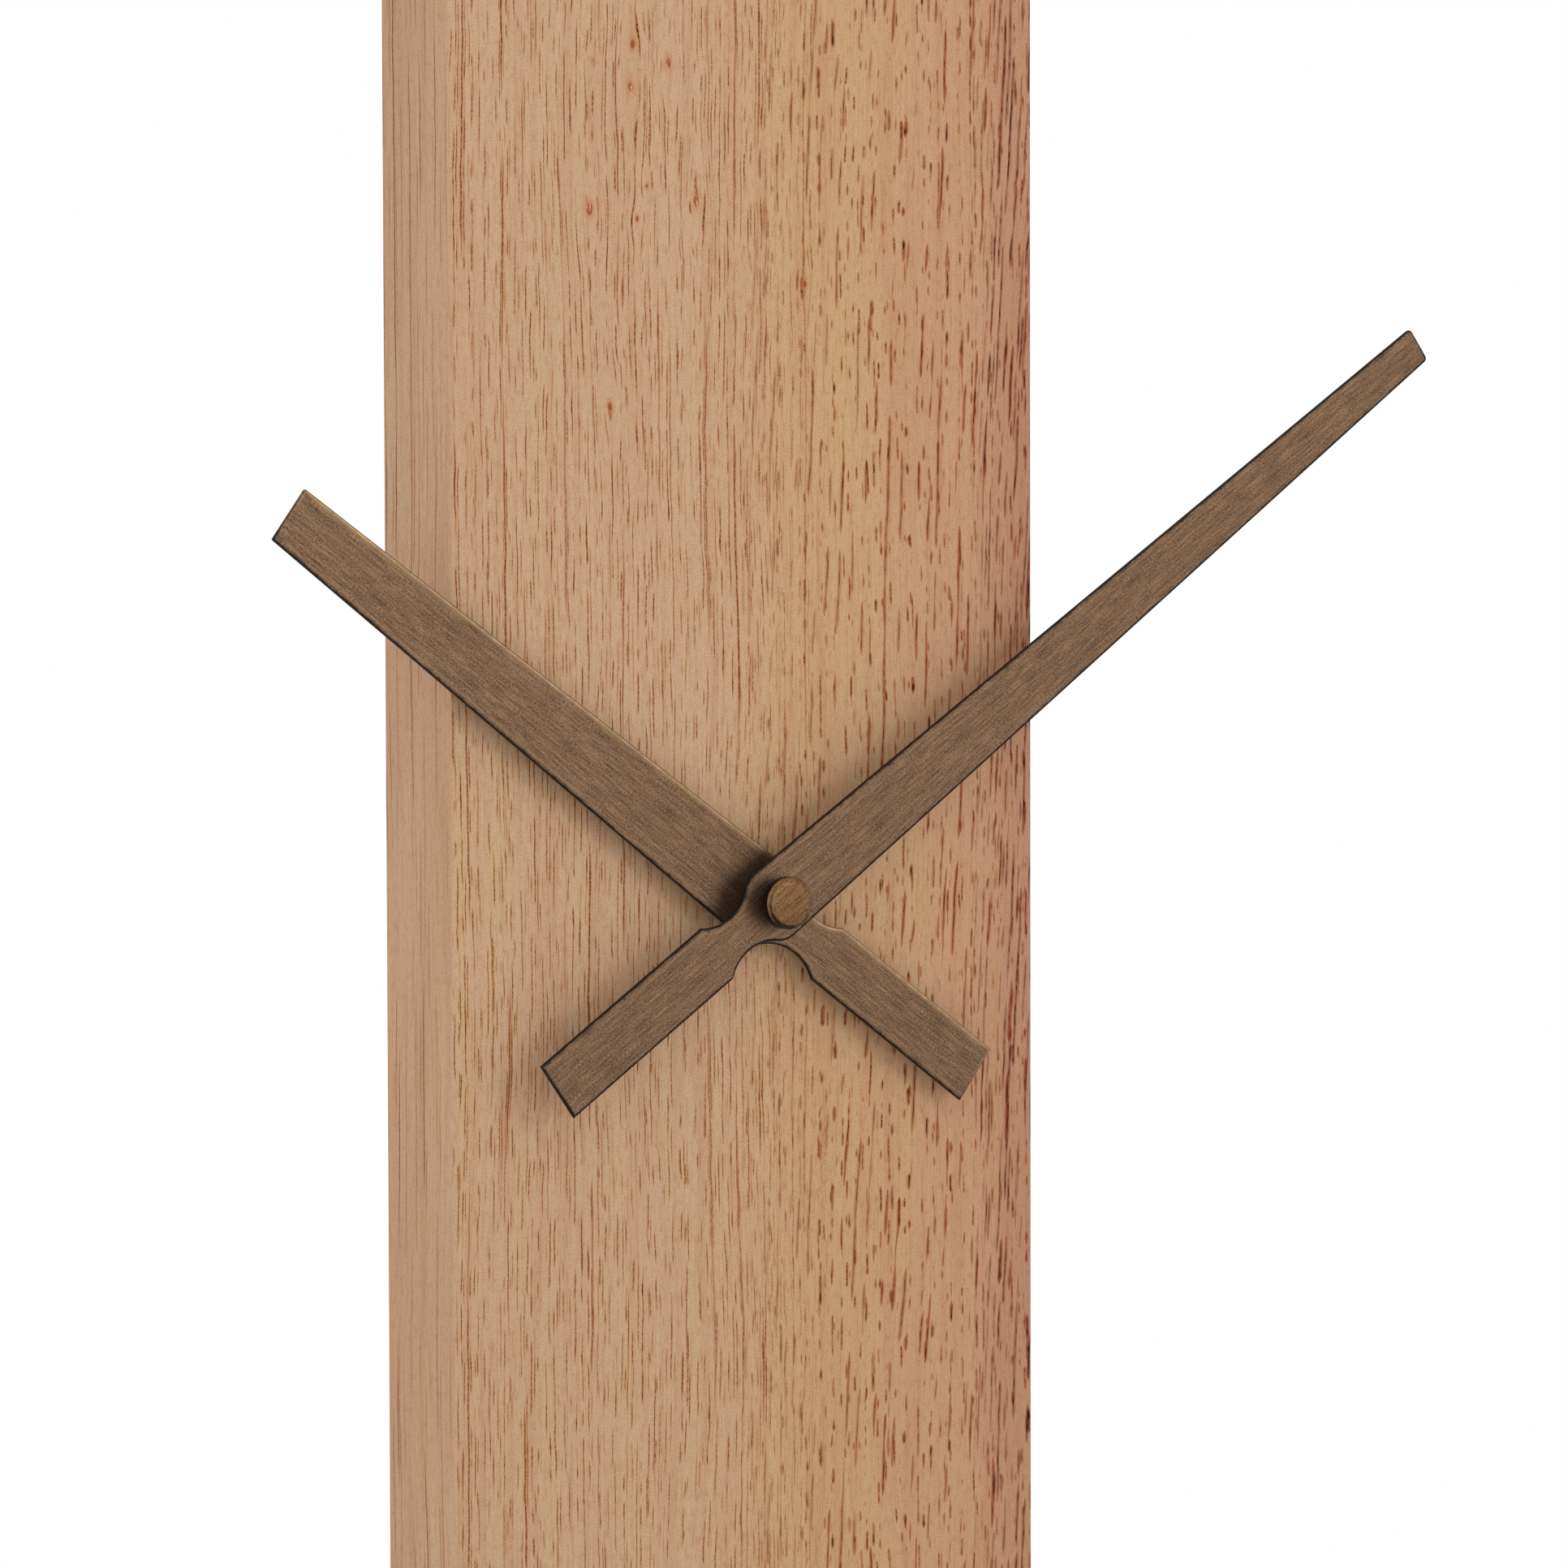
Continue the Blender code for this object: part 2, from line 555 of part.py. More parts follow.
def build_motion_work():
    """Minute shaft, minute wheel, hour wheel and setting knob: 12 turns of the shaft for one hour turn."""
    hour_y = CASE_INNER_Y + 1.3 * MM
    minute_y = hour_y + 1.4 * MM
    shaft_back = CASE_INNER_Y + 6.3 * MM
    step_y = hour_y + 1.1 * MM
    shoulder = MINUTE_HAND_Y

    tip = shoulder - CAP_COLLAR - CAP_BORE
    profile = [(0, tip), (MINUTE_TIP_RADIUS, tip), (MINUTE_TIP_RADIUS, shoulder)]
    profile += [(MINUTE_SHAFT_RADIUS, shoulder), (MINUTE_SHAFT_RADIUS, step_y), (1.5 * MM, step_y)]
    profile += [(1.5 * MM, shaft_back), (0, shaft_back)]
    pinion = gear(PINION_12, MINUTE_PINION_R, minute_y - 0.15 * MM, minute_y + 1.15 * MM)
    seat = disc(PIVOT_RADIUS + RUNNING_FIT, shaft_back - 1.2 * MM, shaft_back + MM, 10)
    solid("minute_arbor", brass(), [turned(profile, 20), pinion], [seat], AXIS, smooth=True)

    wheel_phase = meshing_phase(PINION_12, 0, MINUTE_TEETH, MINUTE_WHEEL_DIRECTION)
    wheel = gear(MINUTE_TEETH, MINUTE_R, minute_y, minute_y + MM, wheel_phase)
    pinion = gear(PINION_10, MOTION_PINION_R, hour_y - 0.2 * MM, minute_y + 0.2 * MM)
    bore = disc(STUD_RADIUS + RUNNING_FIT, hour_y - MM, minute_y + 2 * MM, 12)
    solid("minute_wheel", wheel_plastic(), [wheel, pinion], [bore], MINUTE_WHEEL_AT)

    hour_phase = meshing_phase(PINION_10, 0, HOUR_TEETH, MINUTE_WHEEL_DIRECTION + math.pi)
    wheel = gear(HOUR_TEETH, HOUR_R, hour_y, hour_y + 0.9 * MM, hour_phase)
    tube = disc(HOUR_TUBE_RADIUS, HOUR_HAND_Y - 0.2 * MM, hour_y + 0.2 * MM)
    bore = disc(MINUTE_SHAFT_RADIUS + RUNNING_FIT, HOUR_HAND_Y - MM, hour_y + 2 * MM)
    solid("hour_wheel", wheel_plastic(), [wheel, tube], [bore], AXIS)

    knob_phase = meshing_phase(MINUTE_TEETH, wheel_phase, PINION_12, KNOB_DIRECTION)
    pinion = gear(PINION_12, MINUTE_PINION_R, minute_y - 0.15 * MM, minute_y + 1.15 * MM, knob_phase)
    front_pivot = pivot(PIVOT_FRONT_Y, minute_y)
    shaft = disc(1.2 * MM, minute_y + MM, COVER_BACK_Y + 0.5 * MM, 16)
    grip_outline = []
    for step in range(40):
        radius = 4.5 * MM if step % 2 else 4.1 * MM
        angle = math.pi * step / 20
        grip_outline.append((radius * math.cos(angle), radius * math.sin(angle)))
    grip = prism(grip_outline, COVER_BACK_Y + GAP, COVER_BACK_Y + 2.6 * MM)
    solid("setting_knob", wheel_plastic(), [grip, shaft, pinion, front_pivot], place=KNOB_AT)


def build_drive():
    """Stepper coil on its core, the stator plate around the rotor, and the board with its crystal."""
    rotor = ROTOR_AT - AXIS
    stator_y = (CASE_INNER_Y + 6.6 * MM, CASE_INNER_Y + 7.4 * MM)
    ring = 5.0 * MM
    bar_low, bar_high, end_z = 14.2 * MM, 17.2 * MM, 23.2 * MM
    left, leg = -21 * MM, 3.2 * MM
    start = math.pi - math.asin((bar_low - rotor.z) / ring)
    outline = [(left, end_z), (left, bar_low)]
    for step in range(13):
        angle = start + (2 * math.pi - start) * step / 12
        outline.append((rotor.x + ring * math.cos(angle), rotor.z + ring * math.sin(angle)))
    outline += [(rotor.x + ring, end_z), (rotor.x + ring - leg, end_z), (rotor.x + ring - leg, bar_high)]
    outline += [(left + leg, bar_high), (left + leg, end_z)]
    hole = disc(3.5 * MM, stator_y[0] - MM, stator_y[1] + MM, 20, rotor.x, rotor.z)
    solid("stator", steel(), [prism(outline, *stator_y)], [hole], AXIS)

    coil_z = 21.7 * MM
    coil_y = stator_y[0] - 0.7 * MM
    profile = [(0, -15.8 * MM), (4.2 * MM, -15.8 * MM), (4.2 * MM, -15 * MM), (3.5 * MM, -15 * MM)]
    profile += [(3.5 * MM, 8 * MM), (4.2 * MM, 8 * MM), (4.2 * MM, 8.8 * MM), (0, 8.8 * MM)]
    winding = along_x(turned(profile, 20), coil_y, coil_z)
    core_z = (coil_z - 0.9 * MM, coil_z + 0.9 * MM)
    core = box((left + 0.6 * MM, rotor.x + ring - 0.6 * MM), (coil_y - 0.4 * MM, coil_y + 0.4 * MM), core_z)
    solid("time_coil", copper(), [winding, core], place=AXIS)

    board_y = (CASE_INNER_Y + 10.3 * MM, CASE_INNER_Y + 11.3 * MM)
    board = box((-26.4 * MM, -13.5 * MM), board_y, (-10.4 * MM, 16 * MM))
    chip = moved(turned([(0, -MM), (1.6 * MM, -0.8 * MM), (2.6 * MM, 0.2 * MM), (0, 0.2 * MM)], 16),
                 -20 * MM, board_y[0], -3 * MM)
    solid("circuit_board", board_green(), [board, chip], place=AXIS)
    profile = [(0, -3 * MM), (MM, -3 * MM), (MM, 2.6 * MM), (0.6 * MM, 3 * MM), (0, 3 * MM)]
    can = along_z(turned(profile, 14), 0, 0)
    place = AXIS + Vector((-20 * MM, board_y[0] - 1.3 * MM, 8 * MM))
    solid("quartz_crystal", steel(), [can], place=place, smooth=True)


def build_battery():
    """One cell across the case, between a flat contact and a spring contact."""
    start = -24.45 * MM
    end = start + 50.5 * MM
    nub = 1.2 * MM
    profile = [(0, start), (BATTERY_RADIUS - 0.4 * MM, start), (BATTERY_RADIUS, start + 0.4 * MM)]
    profile += [(BATTERY_RADIUS, end - nub - 0.6 * MM), (BATTERY_RADIUS - 0.6 * MM, end - nub)]
    profile += [(2.75 * MM, end - nub), (2.75 * MM, end), (0, end)]
    cell = along_x(turned(profile), BATTERY_Y, BATTERY_Z)
    solid("battery", battery_sleeve(), [cell], place=AXIS, smooth=True)

    plate_y = (BATTERY_Y - 5 * MM, BATTERY_Y + 5 * MM)
    plate_z = (BATTERY_Z - 5 * MM, BATTERY_Z + 5 * MM)
    solid("contact_positive", steel(), [box((end + 0.2 * MM, end + 0.5 * MM), plate_y, plate_z)], place=AXIS)
    solid("contact_negative", steel(), [box((-26.5 * MM, -26.15 * MM), plate_y, plate_z)], place=AXIS)
    build_contact_spring()


def build_contact_spring():
    """A flat coil spring of two turns that narrows towards the cell."""
    curve = bpy.data.curves.new("contact_spring", "CURVE")
    curve.dimensions = "3D"
    curve.bevel_depth = 0.22 * MM
    curve.bevel_resolution = 1
    curve.render_resolution_u = 0
    curve.use_fill_caps = True
    turns, per_turn = 2, 16
    spline = curve.splines.new("POLY")
    spline.points.add(turns * per_turn)
    for i, point in enumerate(spline.points):
        share = i / (turns * per_turn)
        angle = 2 * math.pi * i / per_turn
        radius = (3.9 - 1.5 * share) * MM
        x = (-25.6 + 0.7 * share) * MM
        point.co = (x, BATTERY_Y + radius * math.cos(angle), BATTERY_Z + radius * math.sin(angle), 1.0)
    obj = bpy.data.objects.new("contact_spring", curve)
    obj.location = AXIS
    curve.materials.append(steel())
    bpy.context.scene.collection.objects.link(obj)


# Hands

def arc(centre, radius, start, end, steps):
    """Points along an arc, given as (across, along) with angles from the across axis."""
    angles = [start + (end - start) * i / steps for i in range(steps + 1)]
    return [(centre[0] + radius * math.cos(a), centre[1] + radius * math.sin(a)) for a in angles]


def hand_outline(length, tail, tip_half, hub_half, tail_half, waist, corner, shoulder_radius, tip_radius):
    """Outline of a hand that points up: a tapering blade, a scalloped waist and a straight tail.

    waist is (half width, height) at the narrowest point; corner is (half width, height) of the small
    corner where the waist ends and the tail begins.
    """
    reach = waist[1] - corner[1]
    rise = corner[0] - waist[0]
    waist_radius = (reach ** 2 + rise ** 2) / (2 * rise)
    waist_centre = (waist[0] + waist_radius, waist[1])
    shoulder_x = hub_half - shoulder_radius
    across = waist_centre[0] - shoulder_x
    along = math.sqrt((shoulder_radius + waist_radius) ** 2 - across ** 2)
    shoulder_centre = (shoulder_x, waist[1] + along)
    meeting = math.atan2(-along, across)
    waist_end = math.atan2(corner[1] - waist_centre[1], corner[0] - waist_centre[0])

    half = arc((tip_half - tip_radius, length - tip_radius), tip_radius, math.pi / 2, 0, 3)
    half += arc(shoulder_centre, shoulder_radius, 0, meeting, 5)
    half += arc(waist_centre, waist_radius, meeting + math.pi, waist_end % (2 * math.pi), 8)[1:]
    half += [(tail_half, -tail)]
    other = [(-x, z) for x, z in reversed(half)]
    return half + other


def build_hour_hand():
    outline = hand_outline(145.5 * MM, 70 * MM, 6.65 * MM, 9.8 * MM, 6.95 * MM, (4.65 * MM, -14.2 * MM),
                           (6.9 * MM, -21.3 * MM), 7 * MM, 0.4 * MM)
    back = HOUR_HAND_Y + HAND_THICKNESS
    hole = disc(3.5 * MM, HOUR_HAND_Y - MM, back + MM)
    solid("hour_hand", bronze(), [prism(outline, HOUR_HAND_Y, back)], [hole], AXIS, HOUR_HAND_ANGLE)
    bore = HOUR_TUBE_RADIUS + RUNNING_FIT
    flange = (back + GAP, back + 1.0 * MM)
    profile = [(bore, HOUR_HAND_Y + 0.2 * MM), (3.2 * MM, HOUR_HAND_Y + 0.2 * MM), (3.2 * MM, flange[0])]
    profile += [(4.6 * MM, flange[0]), (4.6 * MM, flange[1]), (bore, flange[1])]
    solid("hour_hand_bush", brass(), [turned(profile)], place=AXIS, angle=HOUR_HAND_ANGLE, smooth=True)


def build_minute_hand():
    outline = hand_outline(213.5 * MM, 68.2 * MM, 4.35 * MM, 8.65 * MM, 7.1 * MM, (4.45 * MM, -12 * MM),
                           (6.95 * MM, -18.8 * MM), 6 * MM, 1.0 * MM)
    back = MINUTE_HAND_Y + HAND_THICKNESS
    hole = disc(2.9 * MM, MINUTE_HAND_Y - MM, back + MM)
    solid("minute_hand", bronze(), [prism(outline, MINUTE_HAND_Y, back)], [hole], AXIS, MINUTE_HAND_ANGLE)
    bore = MINUTE_SHAFT_RADIUS + RUNNING_FIT
    flange = (back + GAP, back + 1.5 * MM)
    profile = [(bore, MINUTE_HAND_Y + 0.2 * MM), (2.6 * MM, MINUTE_HAND_Y + 0.2 * MM), (2.6 * MM, flange[0])]
    profile += [(4.2 * MM, flange[0]), (4.2 * MM, flange[1]), (bore, flange[1])]
    solid("minute_hand_bush", brass(), [turned(profile)], place=AXIS, angle=MINUTE_HAND_ANGLE, smooth=True)


def build_hand_cap():
    """The closed nut: a narrow collar on the hand, under a wider, slightly domed head."""
    collar_back = MINUTE_HAND_Y - GAP
    head_back = collar_back - CAP_COLLAR
    rim = head_back - 2.4 * MM
    bore = MINUTE_TIP_RADIUS + RUNNING_FIT
    profile = [(bore, collar_back), (3.4 * MM, collar_back), (3.4 * MM, head_back), (5.8 * MM, head_back)]
    profile += [(5.8 * MM, rim + 0.2 * MM), (5.4 * MM, rim - 0.1 * MM), (3 * MM, rim - 0.4 * MM)]
    profile += [(0, rim - 0.55 * MM), (0, head_back - CAP_BORE), (bore, head_back - CAP_BORE)]
    solid("hand_cap", bronze(), [turned(profile, 24)], place=AXIS, angle=MINUTE_HAND_ANGLE, smooth=True)


# Pendulum

PIVOT_AT = Vector((0, 0, AXIS_Z + LEVER_PIVOT_Z))
LEVER_Y = (ROD_Y - 1.8 * MM, ROD_Y - 0.3 * MM)


def build_pendulum_drive():
    pin = disc(MM, CASE_INNER_Y - 0.3 * MM, COVER_BACK_Y + GAP, 16)
    solid("lever_pin", steel(), [pin], place=PIVOT_AT, smooth=True)

    front, back = LEVER_Y
    magnet_z = MAGNET_Z - LEVER_PIVOT_Z
    hook_z = HOOK_Z - LEVER_PIVOT_Z
    hub = disc(3.2 * MM, front - 0.6 * MM, back + 0.4 * MM, 16)
    arm = box((-2.5 * MM, 2.5 * MM), (front, back), (hook_z, 0))
    holder = disc(6 * MM, front - 1.2 * MM, back - 0.1 * MM, z=magnet_z)
    foot = disc(3.4 * MM, front + 0.1 * MM, back + 0.1 * MM, 16, z=hook_z)
    through = (front - 3 * MM, back + 3 * MM)
    cuts = [disc(MM + RUNNING_FIT, *through, 14), disc(4.3 * MM, *through, z=magnet_z)]
    cuts.append(disc(1.6 * MM, *through, 12, z=hook_z))
    solid("swing_lever", wheel_plastic(), [hub, arm, holder, foot], cuts, PIVOT_AT)

    magnet = disc(4 * MM, front - 1.4 * MM, back - 0.3 * MM, z=magnet_z)
    solid("lever_magnet", magnet_grey(), [magnet], place=PIVOT_AT, smooth=True)

    coil_y = (CASE_INNER_Y + GAP, CASE_INNER_Y + 3.7 * MM)
    profile = [(3 * MM, coil_y[0]), (8 * MM, coil_y[0]), (8 * MM, coil_y[1]), (3 * MM, coil_y[1])]
    place = AXIS + Vector((0, 0, MAGNET_Z))
    solid("pendulum_coil", copper(), [turned(profile)], place=place, smooth=True)


def build_pendulum_rod():
    """The rod hangs from a fitting whose pin goes through the eye of the swing lever."""
    hook_z = HOOK_Z - LEVER_PIVOT_Z
    top_z = ROD_TOP_Z - LEVER_PIVOT_Z
    sleeve_top = top_z + 1.6 * MM
    sleeve = along_z(turned([(0, -10 * MM), (2.4 * MM, -10 * MM), (2.4 * MM, 0), (0, 0)], 16), 0, ROD_Y)
    sleeve = moved(sleeve, z=sleeve_top)
    tang_y = (LEVER_Y[1] + 0.8 * MM, LEVER_Y[1] + 1.6 * MM)
    tang = box((-2.2 * MM, 2.2 * MM), tang_y, (sleeve_top - MM, hook_z + 2.5 * MM))
    peg = disc(1.3 * MM, LEVER_Y[0] - 0.8 * MM, tang_y[1] - 0.2 * MM, 12, z=hook_z)
    socket = along_z(disc(ROD_RADIUS + RUNNING_FIT, -20 * MM, 0, 16), 0, ROD_Y)
    socket = moved(socket, z=top_z + GAP)
    solid("pendulum_hook", brass(), [sleeve, tang, peg], [socket], PIVOT_AT)

    length = ROD_TOP_Z - ROD_END_Z
    profile = [(0, 0), (ROD_RADIUS, 0), (ROD_RADIUS, length), (0, length)]
    rod = along_z(turned(profile, 16), 0, ROD_Y)
    rod = moved(rod, z=ROD_END_Z - LEVER_PIVOT_Z)
    solid("pendulum_rod", bronze(), [rod], place=PIVOT_AT, smooth=True)


def build_bob():
    """A spun shell with a steel weight and a back plate. A clip behind it grips the rod."""
    at = Vector((0, 0, AXIS_Z + BOB_Z))
    plate_back = ROD_Y - ROD_RADIUS - 0.7 * MM
    rim_back = plate_back + 0.2 * MM
    edge_y = rim_back - 2.8 * MM
    crown = edge_y - 4.2 * MM
    outer = [(0, crown), (20 * MM, crown + 0.3 * MM), (36 * MM, crown + 1.1 * MM)]
    outer += [(41 * MM, crown + 2.4 * MM), (BOB_RADIUS, edge_y)]
    inner = [(radius - BOB_SHELL if radius > 35 * MM else radius, y + BOB_SHELL) for radius, y in outer]
    inner[-1] = (BOB_RADIUS - BOB_SHELL, edge_y)
    profile = outer + [(BOB_RADIUS, rim_back), (BOB_RADIUS - BOB_SHELL, rim_back)] + inner[::-1]
    solid("bob_shell", bronze(), [turned(profile, BOB_SEGMENTS)], place=at, smooth=True)

    screw_x = 11 * MM
    clear = 1.3 * MM
    plate_y = (plate_back - 1.0 * MM, plate_back)
    weight_y = (plate_y[0] - GAP - 2.2 * MM, plate_y[0] - GAP)
    holes = (plate_y[0] - 6 * MM, plate_back + 3 * MM)

    def screw_holes():
        return [disc(clear, *holes, 12, x=side * screw_x) for side in (-1, 1)]

    back_plate = disc(BOB_RADIUS - BOB_SHELL - GAP, *plate_y, BOB_SEGMENTS)
    solid("bob_back", steel(), [back_plate], screw_holes(), at)
    solid("bob_weight", steel(), [disc(34 * MM, *weight_y, BOB_SEGMENTS)], screw_holes(), at)

    foot_y = plate_back + GAP
    sheet = 0.6 * MM
    crest = ROD_Y + ROD_RADIUS + 0.1 * MM
    section = [(-16 * MM, foot_y), (-2.9 * MM, foot_y), (-1.75 * MM, crest), (1.75 * MM, crest)]
    section += [(2.9 * MM, foot_y), (16 * MM, foot_y), (16 * MM, foot_y + sheet), (3.4 * MM, foot_y + sheet)]
    section += [(2.2 * MM, crest + sheet), (-2.2 * MM, crest + sheet), (-3.4 * MM, foot_y + sheet)]
    section += [(-16 * MM, foot_y + sheet)]
    low = [(x, y, -7 * MM) for x, y in section]
    high = [(x, y, 7 * MM) for x, y in section]
    solid("bob_clip", steel(), [loft(low, high)], screw_holes(), at)

    head = (foot_y + sheet + 0.2 * MM, foot_y + sheet + 1.4 * MM)
    tip = weight_y[0] + 0.2 * MM
    profile = [(0, tip), (MM, tip), (MM, head[0]), (2.1 * MM, head[0]), (2.1 * MM, head[1] - 0.4 * MM)]
    profile += [(1.5 * MM, head[1]), (0, head[1])]
    for name, side in (("bob_screw_left", -1), ("bob_screw_right", 1)):
        slot = box((-3 * MM, 3 * MM), (head[1] - 0.6 * MM, head[1] + MM), (-0.3 * MM, 0.3 * MM))
        place = at + Vector((side * screw_x, 0, 0))
        solid(name, steel(), [turned(profile, 14)], [slot], place, smooth=True)


def main():
    clear_scene()
    build_front_panel()
    build_sides()
    build_ends()
    build_hanger()
    build_wall_pads()
    build_case()
    build_cover()
    build_mounting()
    build_train()
    build_motion_work()
    build_drive()
    build_battery()
    build_hour_hand()
    build_minute_hand()
    build_hand_cap()
    build_pendulum_drive()
    build_pendulum_rod()
    build_bob()


main()
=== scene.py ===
import json
import math

import bmesh
import bpy
from mathutils import Matrix, Vector


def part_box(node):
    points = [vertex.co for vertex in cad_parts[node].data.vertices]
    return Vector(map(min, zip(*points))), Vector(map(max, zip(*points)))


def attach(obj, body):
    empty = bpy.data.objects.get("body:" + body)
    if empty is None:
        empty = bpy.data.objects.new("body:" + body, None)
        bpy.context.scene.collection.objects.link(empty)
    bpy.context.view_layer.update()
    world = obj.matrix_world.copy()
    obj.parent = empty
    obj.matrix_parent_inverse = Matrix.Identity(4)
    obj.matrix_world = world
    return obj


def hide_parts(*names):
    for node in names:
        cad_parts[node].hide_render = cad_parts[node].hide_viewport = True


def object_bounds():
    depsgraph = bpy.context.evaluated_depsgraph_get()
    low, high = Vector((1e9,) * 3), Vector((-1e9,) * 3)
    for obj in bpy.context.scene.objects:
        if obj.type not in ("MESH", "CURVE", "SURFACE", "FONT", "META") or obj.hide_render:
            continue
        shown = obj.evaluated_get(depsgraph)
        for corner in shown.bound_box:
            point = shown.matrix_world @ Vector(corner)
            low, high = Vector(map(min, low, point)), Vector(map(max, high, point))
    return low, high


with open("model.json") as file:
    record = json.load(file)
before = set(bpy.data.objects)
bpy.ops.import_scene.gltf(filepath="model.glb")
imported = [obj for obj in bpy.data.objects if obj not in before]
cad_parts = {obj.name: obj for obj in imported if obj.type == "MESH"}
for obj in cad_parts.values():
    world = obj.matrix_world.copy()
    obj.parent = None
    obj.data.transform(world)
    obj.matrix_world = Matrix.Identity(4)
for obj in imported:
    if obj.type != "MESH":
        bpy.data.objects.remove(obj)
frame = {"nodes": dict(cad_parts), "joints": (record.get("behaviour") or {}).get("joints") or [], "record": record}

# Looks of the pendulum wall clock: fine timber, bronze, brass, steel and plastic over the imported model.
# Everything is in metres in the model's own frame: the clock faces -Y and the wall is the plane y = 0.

CAD_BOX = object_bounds()
MM = 0.001
NODES = frame["nodes"]
BODY_OF = {node: body for body, nodes in frame["record"]["behaviour"]["bodies"].items() for node in nodes}
SLOT_OF = {part["node"]: part["material_slot"] for part in frame["record"]["subparts"]}

SHARP_ANGLE = math.radians(30)  # an edge between faces that turn more than this stays sharp in shading
ARRIS_RADIUS = 0.45 * MM        # rounding of the timber's outer edges
SHARP_CORNER = 0.02 * MM        # radius left where an inset has used up a rounded corner
END_FADE = 2.5 * MM             # over which the rubbed band inside a hand's edge fades out at its ends
HOUR_HAND_ANGLE = math.radians(-53.5)
MINUTE_HAND_ANGLE = math.radians(54.9)

FLOOR_RADIUS = 1.8              # the floor ends just below the camera's view, which stays white
FLOOR_GAP = 20 * MM             # between the floor and the bob
CAMERA_PLACE = Vector((-0.82427, -1.39439, -0.09658))
CAMERA_TARGET = Vector((0.009265, -0.0315, -0.18486))
CAMERA_ROLL = math.radians(-0.14)
KEY_LIGHT_PLACE = Vector((0.95, -2.1, 0.45))
LIGHT_FROM = (-0.10, -0.78, 0.60)       # where the world is brightest


def pivot_of(joint_name):
    joint = next(j for j in frame["joints"] if j["name"] == joint_name)
    return Vector(joint["pos_m"])


AXIS_Z = pivot_of("minute_turn").z


# Shader graphs

class Graph:
    """Builds a material's nodes. Each method adds one node and returns its output socket."""

    def __init__(self, name, colour=(0.5, 0.5, 0.5), roughness=0.5, metallic=0.0, coat=0.0):
        self.material = bpy.data.materials.new(name)
        self.material.use_nodes = True
        self.tree = self.material.node_tree
        self.shader = self.tree.nodes["Principled BSDF"]
        self.set("Base Color", (*colour, 1.0))
        self.set("Roughness", roughness)
        self.set("Metallic", metallic)
        self.set("Coat Weight", coat)
        self.position = self.node("ShaderNodeTexCoord", {}, "Object")

    def set(self, socket, value):
        self.plug(self.shader.inputs[socket], value)

    def plug(self, socket, value):
        if isinstance(value, bpy.types.NodeSocket):
            self.tree.links.new(value, socket)
        else:
            socket.default_value = value

    def node(self, kind, inputs, out=0, **settings):
        node = self.tree.nodes.new(kind)
        for key, value in settings.items():
            setattr(node, key, value)
        for key, value in inputs.items():
            self.plug(node.inputs[key], value)
        return node.outputs[out]

    def calc(self, operation, a, b=0.0, c=0.0):
        return self.node("ShaderNodeMath", {0: a, 1: b, 2: c}, operation=operation)

    def add(self, a, b):
        return self.calc("ADD", a, b)

    def mul(self, a, b):
        return self.calc("MULTIPLY", a, b)

    def madd(self, a, b, c):
        return self.calc("MULTIPLY_ADD", a, b, c)

    def split(self, vector):
        node = self.tree.nodes.new("ShaderNodeSeparateXYZ")
        self.plug(node.inputs[0], vector)
        return node.outputs[0], node.outputs[1], node.outputs[2]

    def join(self, x=0.0, y=0.0, z=0.0):
        return self.node("ShaderNodeCombineXYZ", {0: x, 1: y, 2: z})

    def step(self, value, low, high, to_low=0.0, to_high=1.0):
        """A smooth step: to_low below low, to_high above high. low may be above high."""
        inputs = {0: value, 1: low, 2: high, 3: to_low, 4: to_high}
        return self.node("ShaderNodeMapRange", inputs, interpolation_type="SMOOTHSTEP")

    def mix(self, factor, a, b, blend="MIX"):
        """Mix two colours."""
        inputs = {0: factor, 6: a, 7: b}
        return self.node("ShaderNodeMix", inputs, 2, data_type="RGBA", blend_type=blend)

    def noise(self, vector, scale=1.0, detail=2.0, roughness=0.5, dimensions="3D", **inputs):
        values = {"Vector": vector, "Scale": scale, "Detail": detail, "Roughness": roughness, **inputs}
        return self.node("ShaderNodeTexNoise", values, 0, noise_dimensions=dimensions)

    def bump(self, height, strength, distance):
        inputs = {"Height": height, "Strength": strength, "Distance": distance}
        self.set("Normal", self.node("ShaderNodeBump", inputs))


def rgb(*colour):
    """An sRGB colour, 0 to 255, as linear RGBA."""
    channels = []
    for value in colour:
        value /= 255
        channels.append(value / 12.92 if value <= 0.04045 else ((value + 0.055) / 1.055) ** 2.4)
    return (*channels, 1.0)


def scale_colour(colour, factor):
    return (*[channel * factor for channel in colour[:3]], 1.0)


# Timber

